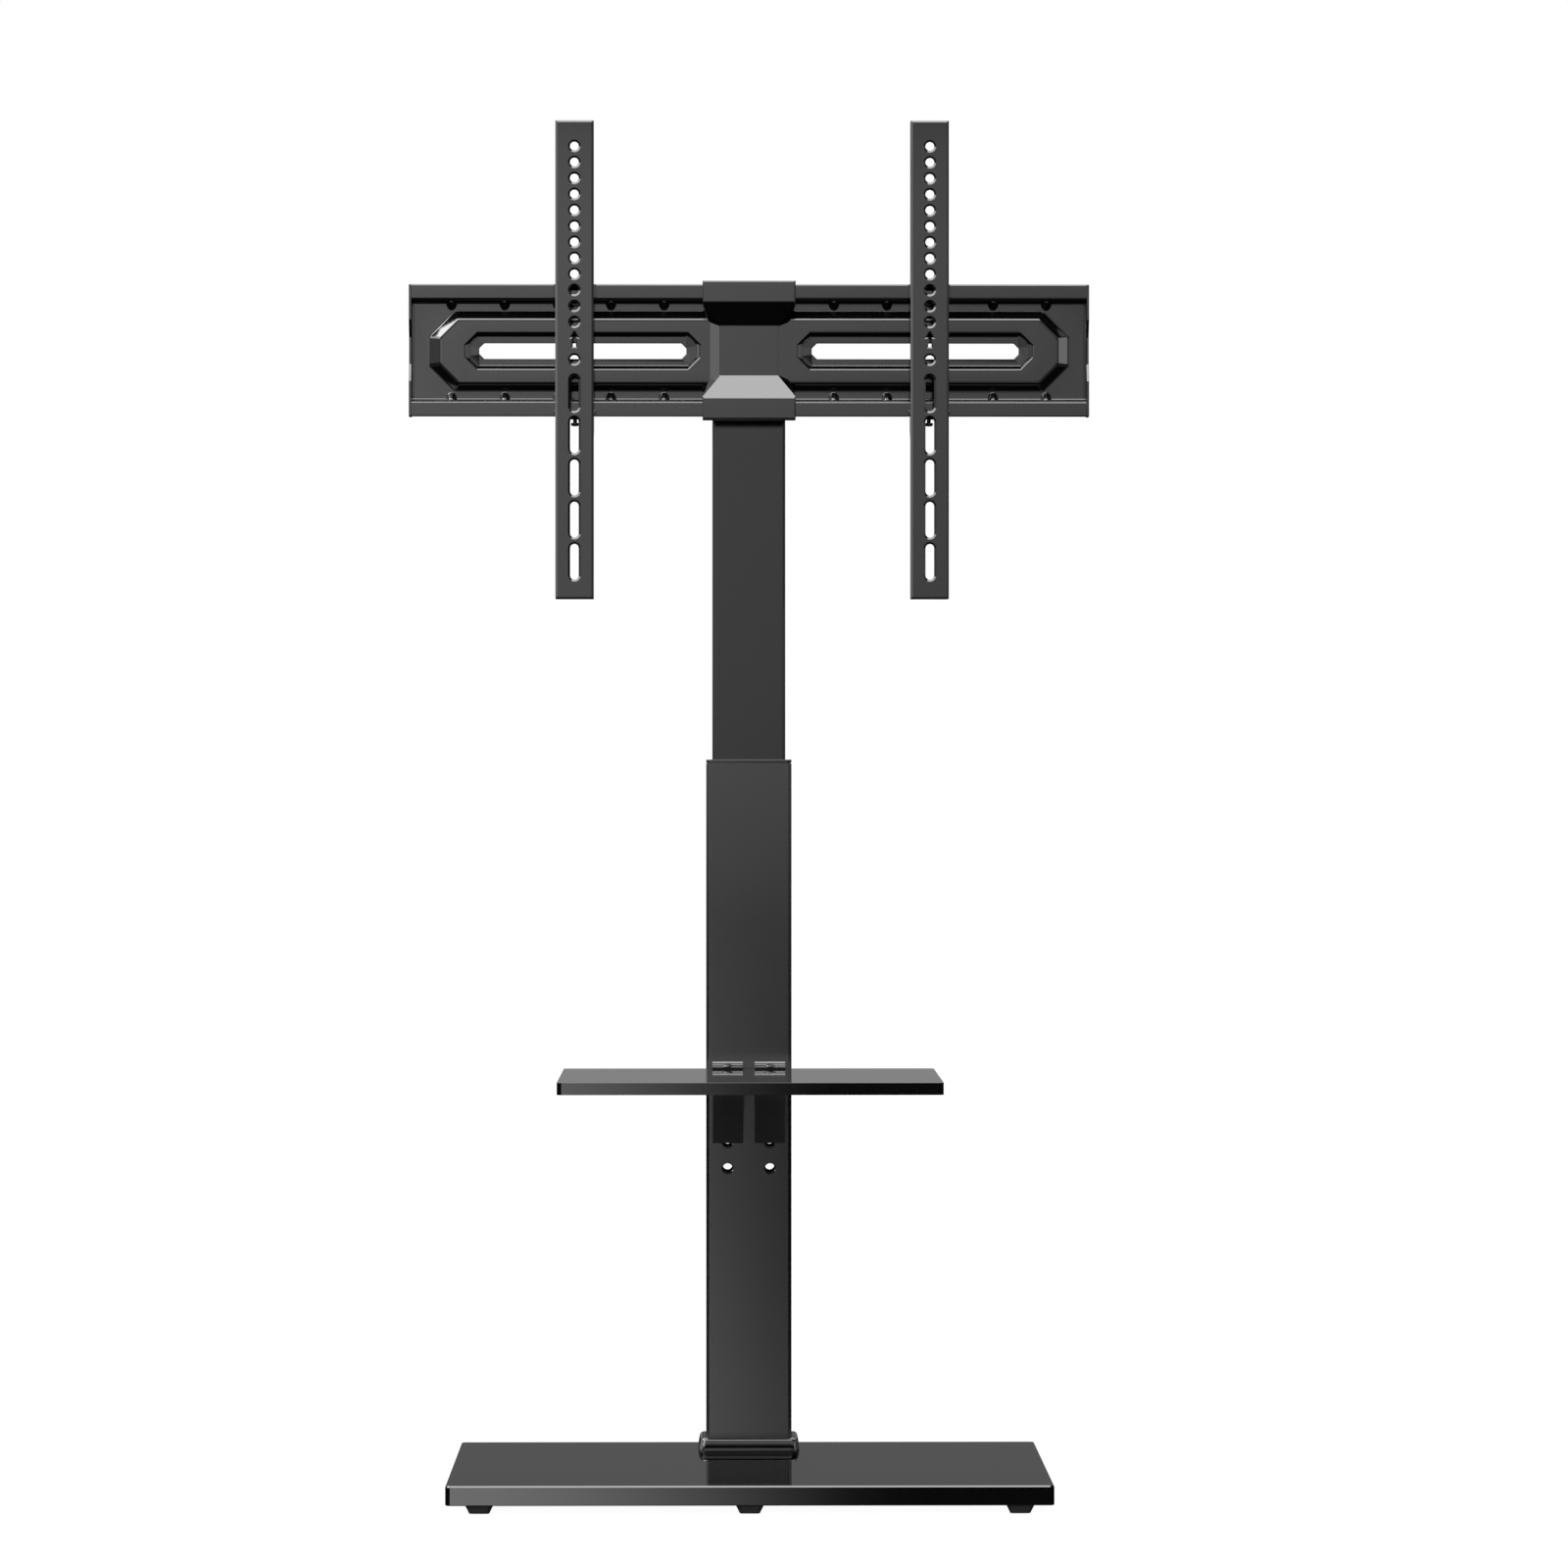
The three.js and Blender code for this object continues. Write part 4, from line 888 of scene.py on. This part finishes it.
# The short lid that closes a bracket's hollow near the post
LID_SECTION = [(189, 412.9), (217.6, 412.9), (217.6, BRACKET_TOP), (189, BRACKET_TOP)]
BRACKET_HALF = 15.6

for name, x in (("left", -SIDE_ROW), ("right", SIDE_ROW)):
    shell = prism(f"{name}_bracket", bracket_outline(0), x, BRACKET_HALF)
    cut_away(shell, prism("hollow", bracket_outline(WALL), x, BRACKET_HALF - WALL))
    whole = Form()
    whole.mesh.from_mesh(shell.data)
    whole.loft([on_x(LID_SECTION, x - 13.8), on_x(LID_SECTION, x + 13.8)])
    bracket = object_of(f"{name}_shelf_arm", whole)
    bpy.data.objects.remove(shell)
    dress(bracket, satin_painted_light, "stand", f"shelf_bracket_{name}", bevel=0.59, segments=1)

    clamp = prism(f"{name}_clamp", CLAMP_SECTION, x, BRACKET_HALF)
    dress(clamp, coat, "stand", f"shelf_clamp_{name}", bevel=0.12, angle=14)


screw = Form()
screw.turned(
    [
        (5.5, 0), (5.5, 0.5), (5.2, 1.1), (4.5, 1.7), (3.4, 2.1), (2.5, 2.2), (2.3, 2.1),
        (2.1, 1.2), (0.5, 1.0),
    ],
    (0, BASE_FRONT, 0), "z", 36,
)
screw.turned([(3, -30), (3, 0)], (0, BASE_FRONT, 0), "z", 24)
arrange(
    "shelf_screws", object_of("screw", screw), PAIRS,
    {"Count": 1, "First place": spot((SIDE_ROW, 204, 430.9)), "Step": step()},
    coat, "stand", "shelf_screw_left", "shelf_screw_right",
)

bolt = Form()
hex_nut(bolt, 14, 5, (0, BASE_FRONT, 0), "y")
bolt.turned([(4, -68.5), (4, 0)], (0, BASE_FRONT, 0), "y", 24)
arrange(
    "post_bolts", object_of("bolt", bolt), PAIRS,
    {"Count": 2, "First place": spot((SIDE_ROW, POST_BACK, 379.6)), "Step": step(z=HOLE_STEP)},
    steel, "stand",
    *[f"post_bolt_{side}_{level}" for side in ("left", "right") for level in ("low", "high")],
)

bolt = Form()
hex_nut(bolt, 13, 5, (0, BASE_FRONT, 0), "y")
bolt.turned([(4, -51), (4, 0)], (0, BASE_FRONT, 0), "y", 24)
arrange(
    "head_bolts", object_of("bolt", bolt), PAIRS,
    {"Count": 2, "First place": spot((24, 272.5, PLATE - 33)), "Step": step(z=66)},
    steel, "column", "head_bolt_1", "head_bolt_2", "head_bolt_3", "head_bolt_4",
)


# Swivel joint

rounded_copy("post_bracket", coat, "column")
rounded_copy("plate_bracket", coat, "head")

pin = Form()
pin_head = (0, SWIVEL_DEPTH, PLATE + 32.1)
hex_nut(pin, 19, 7.5, pin_head, "z")
pin.turned([(5.2, -72.5), (6, -71.7), (6, 0)], pin_head, "z", 24)
dress(object_of("joint_pin", pin), steel, "head", "swivel_pin")

nut = Form()
hex_nut(nut, 19, 8, (0, SWIVEL_DEPTH, PLATE - 40.1), "z", 6.3)
dress(object_of("joint_nut", nut), steel, "head", "swivel_nut")


# Wall plate: one pressed sheet, drawn by its middle surface and thickened

# Depths of the sheet's middle: the web, the field raised from it, the dishes in that, the lips
WEB, FIELD, DISH, LIP = 175, 169, 172, 160
WEB_FACE = WEB - WALL / 2
LIP_FACE = LIP - WALL / 2

# Half heights of the steps out to the lips and of the lips' edges, and the sheet's half length
STEP_HALF = 51.2
EDGE_HALF = 66.8
SHEET_HALF = 341.2


def slope_rings(outer, inner, from_y, to_y, soft=0.14):
    """Rings down or up a pressed slope, rounded where it leaves one level and meets the next."""
    steps = 4
    levels = [-soft + 2 * soft * k / steps for k in range(steps + 1)]
    levels += [1 - soft + 2 * soft * k / steps for k in range(steps + 1)]
    rings = []
    for s in levels:
        if s < soft:
            rise = (s + soft) ** 2 / (4 * soft)
        elif s <= 1 - soft:
            rise = s
        else:
            rise = 1 - (1 + soft - s) ** 2 / (4 * soft)
        outline = [(a[0] + (b[0] - a[0]) * s, a[1] + (b[1] - a[1]) * s) for a, b in zip(outer, inner)]
        rings.append(on_y(outline, from_y + (to_y - from_y) * rise))
    return rings


def rail_section():
    """The middle line from the top edge of the upper lip to the lower edge of the lower one."""
    path = [
        (LIP, EDGE_HALF, 0), (LIP, STEP_HALF, 2.6), (WEB, STEP_HALF, 4.2),
        (WEB, -STEP_HALF, 4.2), (LIP, -STEP_HALF, 2.6), (LIP, -EDGE_HALF, 0),
    ]
    line = []
    for i, (y, z, bend) in enumerate(path):
        if not bend:
            line.append((y, z))
            continue
        here = Vector((y, z))
        before = (Vector(path[i - 1][:2]) - here).normalized()
        after = (Vector(path[i + 1][:2]) - here).normalized()
        middle = here + (before + after) * bend
        for k in range(8):
            angle = math.pi / 2 * k / 7
            point = middle - after * bend * math.cos(angle) - before * bend * math.sin(angle)
            line.append((point.x, point.y))
    return line


sheet = Form()
section = [(y, PLATE + z) for y, z in rail_section()]
middle = len(section) // 2
ends = {}
for part, name in ((section[:middle], "upper"), (section[middle:], "lower")):
    left = sheet.ring(on_x(part, -SHEET_HALF))
    right = sheet.ring(on_x(part, SHEET_HALF))
    for i in range(len(part) - 1):
        sheet.mesh.faces.new((left[i], left[i + 1], right[i + 1], right[i]))
    ends[name] = (left, right)

slope = slope_rings(plate_loop(645.2, 80.4, 25.5, 6), plate_loop(623.4, 63, 18.4, 4), WEB, FIELD)
field = [sheet.ring(points) for points in slope]
sheet.skin(field)
web = [ends["upper"][0][-1], ends["upper"][1][-1], ends["lower"][1][0], ends["lower"][0][0]]
sheet.fill(web, field[0])
dishes = []
for x in (-168, 168):
    rim, floor = plate_loop(238.2, 38.5, 12.5, 3, x), plate_loop(229.4, 29.7, 6.4, 2, x)
    dish = [sheet.ring(points) for points in slope_rings(rim, floor, FIELD, DISH, 0.22)]
    sheet.skin(dish)
    dishes.append(dish[0])
    slot = sheet.ring(on_y(plate_loop(209.2, 15.5, 5, 1.2, x), DISH))
    sheet.fill(dish[-1], slot)
sheet.fill(field[-1], *dishes)
bmesh.ops.recalc_face_normals(sheet.mesh, faces=sheet.mesh.faces)
plate = object_of("pressed_plate", sheet)
thick = plate.modifiers.new("sheet", "SOLIDIFY")
thick.thickness = WALL * MM
thick.offset = 0
thick.use_even_offset = True
settle(plate)


def lip_edge(side):
    """Chooses the front edge of the upper lip at 1, or of the lower one at -1."""
    front = spot((0, LIP_FACE, 0)).y
    return lambda p: abs(p.y - front) < 0.05 * MM and side * (p.z - PLATE * MM) > 66 * MM


whole = Form()
whole.mesh.from_mesh(plate.data)
bpy.data.objects.remove(plate)
for side in (1, -1):
    whole.chamfer(1.3, lip_edge(side))
for side in (-1, 1):
    # The hollow of the bend between the web and an end flange
    bend_x, bend_y, bend_radius = 338.3, 171.1, 3
    turns = [math.radians(15 * k) for k in range(7)]
    hollow = [
        (side * (bend_x + bend_radius * math.sin(a)), bend_y + bend_radius * math.cos(a)) for a in turns
    ]
    hollow += [(side * 341.5, bend_y), (side * 341.5, 174.2), (side * bend_x, 174.2)]
    whole.loft([on_z(hollow, PLATE - 47), on_z(hollow, PLATE + 47)])
plate = object_of("pressed_wall_plate", whole)
dress(plate, coat, "head", "wall_plate", bevel=0.8, segments=3, bevel_angle=60, crowded=True)


def flange_outline(inset):
    """An end flange: as tall as the plate, and cut back between the lips."""
    corners = [
        (176, -EDGE_HALF), (176, EDGE_HALF), (LIP_FACE, EDGE_HALF), (LIP_FACE, 31),
        (166, 13.5), (166, -13.5), (LIP_FACE, -31), (LIP_FACE, -EDGE_HALF),
    ]
    return [
        (y + inset * (1 if y < 170 else -1), PLATE + z - inset * z / EDGE_HALF)
        for y, z in softened(corners, 1.2, 3)
    ]


end_plates = Form()
for low, high in ((-343.3, -340.7), (340.7, 343.3)):
    end_plates.slab(flange_outline, low, high, 0.3, on_x, steps=1)
dress(object_of("rail_end_plates", end_plates), coat, "head")

# Gussets pressed into the rails' two steps: half width, height along the web, and depth
GUSSET_RINGS = [
    (6.2, 9.6, 175), (5.8, 9.2, 174), (5.3, 8.4, 173.6), (4.9, 7.4, 172.6), (4.5, 6.2, 171),
    (4.0, 4.9, 169.2), (3.3, 3.4, 167.6), (2.2, 1.9, 166.7), (0.8, 0.6, 166.4),
]


def gusset_ring(side, wide, tall, y):
    """Half an ellipse, cut off just inside the step at 1 above or at -1 below."""
    points = []
    for k in range(24):
        angle = 2 * math.pi * k / 24
        level = 50.2 + min(tall * math.sin(angle), 0.3)
        points.append((wide * math.cos(angle), y - WEB_FACE + BASE_FRONT, side * level))
    return points


boss = Form()
for side in (-1, 1):
    boss.loft([gusset_ring(side, *ring) for ring in GUSSET_RINGS])
arrange(
    "rail_gussets", object_of("gusset", boss), PAIRS,
    {"Count": 5, "First place": spot((85.8, WEB_FACE, PLATE)), "Step": step(53.7)},
    coat, "head",
)

rounded_copy(
    "centre_cover", plastic, "head", 18, 3, moved=[(167.7, 169.3)],
    cut=(1.3, lambda p: p.y < spot((0, 151.1, 0)).y),
)


# Screen arms

ARM_WIDTH, ARM_LENGTH, ARM_MIDDLE, ARM_BACK = 38.4, 481, 1144.9, 156.7
TOOL_DEPTH = 20


def slot_outline(width, length):
    """An upright slot with round ends, around the origin."""
    radius, steps = width / 2, 10
    points = []
    for end, start in ((1, 0), (-1, math.pi)):
        for k in range(steps + 1):
            angle = start + math.pi * k / steps
            rise = end * (length / 2 - radius) + radius * math.sin(angle)
            points.append((radius * math.cos(angle), rise))
    return points


def arrow_outline(grow):
    """An upright arrow with its blunt tip near the origin and its stem below."""
    wing, stem, low = 3.7 + grow * 1.35, 1.6 + grow, -7.1 - grow
    return [
        (stem, -16.6 - grow), (stem, low), (wing, low), (0.4 + grow * 0.5, -1.9 + grow),
        (-0.4 - grow * 0.5, -1.9 + grow), (-wing, low), (-stem, low), (-stem, -16.6 - grow),
    ]


def screen_arm(name, x):
    """A tray of folded sheet with holes, its hook over the upper rail, and its ears and tab."""
    form = Form()
    levels = [
        (WALL, ARM_FRONT), (0, ARM_FRONT + WALL), (0, ARM_BACK), (WALL, ARM_BACK),
        (WALL, ARM_FRONT + WALL),
    ]
    form.loft([
        on_y(rounded(ARM_WIDTH - 2 * inset, ARM_LENGTH - 2 * inset, 0.5, 2, (x, ARM_MIDDLE)), y)
        for inset, y in levels
    ])
    arm = object_of(f"{name}_screen_arm", form)
    holes = [(12, (x, ARM_FRONT, 1359.3), step(z=-16.06)), (1, (x, ARM_FRONT, ARM_MIDDLE), step())]
    punch_rows(arm, drill(4.4, TOOL_DEPTH, 2), coat, *holes)
    slot = flared_punch(lambda grow: slot_outline(8.6 + 2 * grow, 35.9 + 2 * grow), TOOL_DEPTH, 2.1)
    punch_rows(arm, slot, coat, (5, (x, ARM_FRONT, 1111), step(z=-42.34)))
    arrow = flared_punch(arrow_outline, TOOL_DEPTH, 1.3)
    punch_rows(arm, arrow, coat, (1, (x, ARM_FRONT, 1174.1), step()))

    form = Form()
    hook_path = [
        (157.7, PLATE + 60), (157.7, PLATE + 68.1), (162.3, PLATE + 68.1), (162.3, PLATE + 57.8),
    ]
    hook = sheet_outline(hook_path, WALL, 0.4)
    form.loft([on_x(hook, x - 18.4), on_x(hook, x + 18.4)])
    form.block((x - 21.3, x + 21.3), (156.7, 158.7), (PLATE + 53.3, PLATE + 66.6), 0.3)
    low = PLATE - EDGE_HALF
    ear = [(154.7, low - 24.3), (174, low - 12.3), (174, low - 0.3), (154.7, low - 0.3)]
    ear = softened(ear, 2, 4)
    for side in (-1, 1):
        near, thick, wide = x + side * 17.2, x + side * 19.2, x + side * 21.3
        form.block(sorted((near, wide)), (154.7, 158.7), (low + 2.1, low + 6.1), 0.4)
        form.loft([on_x(ear, place) for place in sorted((near, thick))])
    form.block((x - 18.2, x + 18.2), (161, 174), (low - 2.3, low - 0.3), 0.3)
    folds = object_of(f"{name}_arm_folds", form)

    whole = Form()
    for part in (arm, folds):
        whole.mesh.from_mesh(part.data)
        bpy.data.objects.remove(part)
    made = object_of(f"{name}_arm_rail", whole, tidy=False)
    dress(made, coat, f"{name}_arm", f"{name}_arm", angle=SLIM)


def arm_screw(name, x):
    """The screw under an arm's tab, with a fine knurl round its head."""
    centre = (x, 167.5, 0)
    low = PLATE - 76.1
    form = Form()
    form.turned(
        [
            (1.2, low + 0.5), (1.4, low), (2.6, low), (3.6, low + 0.5), (4.2, low + 1.4),
            (4.2, low + 2.8), (3.9, low + 3.2), (2.1, low + 3.4),
        ],
        centre, "z", 36, lambda angle: 1 + 0.02 * math.cos(18 * angle),
    )
    form.turned([(2, low + 3), (2, PLATE - 53)], centre, "z", 24)
    dress(object_of(f"{name}_lock_screw", form), steel, f"{name}_arm_lock", f"{name}_arm_screw")


for name, x in (("left", LEFT_ARM), ("right", RIGHT_ARM)):
    screen_arm(name, x)
    arm_screw(name, x)


# CAD solids that stay as they are get their finish

KEPT = {
    coat: ["base_underplate"],
    steel: [
        *[f"base_bolt_{i}" for i in (1, 2, 3, 4)], "shelf_nut_left", "shelf_nut_right",
        *[f"post_nut_{side}_{level}" for side in ("left", "right") for level in ("low", "high")],
        "lock_screw_lower", "lock_screw_upper",
    ],
    rubber: ["shelf_pad_left", "shelf_pad_right"],
    nylon: ["inner_glide", "swivel_washer_lower", "swivel_washer_upper"],
}
for material, names in KEPT.items():
    for name in names:
        for slot in nodes[name].material_slots:
            slot.material = material


# Floor, light and camera


FLOOR_HALF = 9000
FLOOR_MATTE = 0.03


def studio_floor():
    """A pale floor that glows, so that no shadow darkens it much."""
    corners = [(-1, -1), (1, -1), (1, 1), (-1, 1)]
    form = Form()
    form.mesh.faces.new(form.ring([(x * FLOOR_HALF, y * FLOOR_HALF, 0) for x, y in corners]))
    floor = object_of("floor", form)
    material = bpy.data.materials.new("pale_floor")
    material.use_nodes = True
    tree = Tree(material.node_tree)
    glow = tree.node("ShaderNodeEmission", {}, {"Color": (1, 1, 1, 1), "Strength": 1.0})
    matte = tree.node("ShaderNodeBsdfDiffuse", {}, {"Color": (0.8, 0.8, 0.8, 1)})
    mixed = tree.node("ShaderNodeMixShader", {}, {0: FLOOR_MATTE, 1: glow, 2: matte})
    tree.node("ShaderNodeOutputMaterial", {}, {"Surface": mixed})
    floor.data.materials.append(material)
    floor.visible_glossy = False
    floor.visible_diffuse = False


# Soft boxes: from and to in degrees to the right of the front, with the softness; the same
# upwards; and the level
SOFT_BOXES = [
    ((-115, 28, 6), (31, 59, 2), 11.3),
    ((-110, -45, 8), (35, 50, 4), 9.0),
    ((-62, -36, 4), (12, 31, 3), 8.0),
    ((-62, -40, 3), (0, 22, 2), 0.9),
    ((-112, -65, 3), (0, 22, 2), 2.8),
    ((51, 63, 3), (0, 22, 2), 3.4),
    ((64, 78, 3), (0, 22, 2), 1.5),
    ((80, 112, 4), (0, 22, 2), 0.5),
]


def studio_world():
    """White to the camera, and soft boxes for the glossy finish to mirror."""
    world = bpy.data.worlds.new("studio")
    scene.world = world
    world.use_nodes = True
    tree = Tree(world.node_tree)
    ray = tree.node("ShaderNodeTexCoord", out="Generated")
    x = tree.node("ShaderNodeSeparateXYZ", {}, {"Vector": ray}, out="X")
    y, z = x.other("Y"), x.other("Z")
    height = tree.sum("ARCSINE", z) * (180 / math.pi)
    side = tree.sum("ARCTAN2", x, 0 - y) * (180 / math.pi)

    def window(value, low, high, soft, soft_high=None):
        rise = tree.between(value, low - soft, low + soft)
        fall = soft_high or soft
        return rise * tree.between(value, high + fall, high - fall)

    # The wall in front, that every face turned forward mirrors, and a band above it
    front = window(side, -32, 40, 6)
    wall = tree.between(side, -9, 9, 2.1, 0.82) * tree.between(height, 2, 7, 0.97, 1.72)
    light = wall * front * window(height, -0.9, 6.2, 0.8, 0.2)
    light = light + front * window(height, 15, 28, 1.5) * tree.between(height, 14, 28, 0.9, 2.1)

    # A lamp low in front on the left, in the front edges of the boards
    lamp = window(side + (height + 6.5) * 0.14, -7, -0.5, 2.1) * window(height, -8.5, -1.5, 0.7)
    light = light + lamp * 3.7

    # Overhead, in slopes that face half upwards
    overhead = tree.between(height + tree.between(y, -0.05, 0.3) * 42, 79, 84)
    light = light + overhead * tree.between(y, 0, 0.35, 9.4, 5)

    # Behind, in the tops of the boards, and a dim band round the sides and the back
    behind = tree.between(y, 0.1, 0.4)
    light = light + behind * (window(height, 0, 4.6, 1) * 0.29 + window(height, 4.6, 9, 1) * 0.15)
    light = light + (1 - front) * window(height, 14, 30, 4) * 0.5

    # Below the horizon, in what faces a little downwards
    low_band = window(height, -33, -9.7, 3, 1.2)
    light = light + low_band * tree.between(tree.sum("ABSOLUTE", side), 14, 30, 0.8, 0.2)
    light = light + tree.between(height, -66, -76) * 0.1

    for sides, heights, level in SOFT_BOXES:
        light = light + window(side, *sides) * window(height, *heights) * level
    camera = tree.node("ShaderNodeLightPath", out="Is Camera Ray")
    strength = camera + (1 - camera) * (light + 0.01)
    shown = tree.node("ShaderNodeBackground", {}, {"Color": (1, 1, 1, 1), "Strength": strength})
    tree.node("ShaderNodeOutputWorld", {}, {"Surface": shown})


# The photograph's camera: its place in metres, and how far it looks down and to the right
CAMERA_PLACE = (-0.031, -6.284, 0.734)
CAMERA_DOWN, CAMERA_RIGHT = 0.144, 0.604


def studio_camera():
    lens = bpy.data.cameras.new("camera")
    lens.lens = 142.875
    lens.sensor_width = 36
    lens.clip_end = 60
    camera = bpy.data.objects.new("camera", lens)
    camera.location = CAMERA_PLACE
    camera.rotation_euler = (math.radians(90 - CAMERA_DOWN), 0, math.radians(-CAMERA_RIGHT))
    scene.collection.objects.link(camera)
    scene.camera = camera


studio_floor()
studio_world()
studio_camera()
scene.view_settings.view_transform = "Standard"
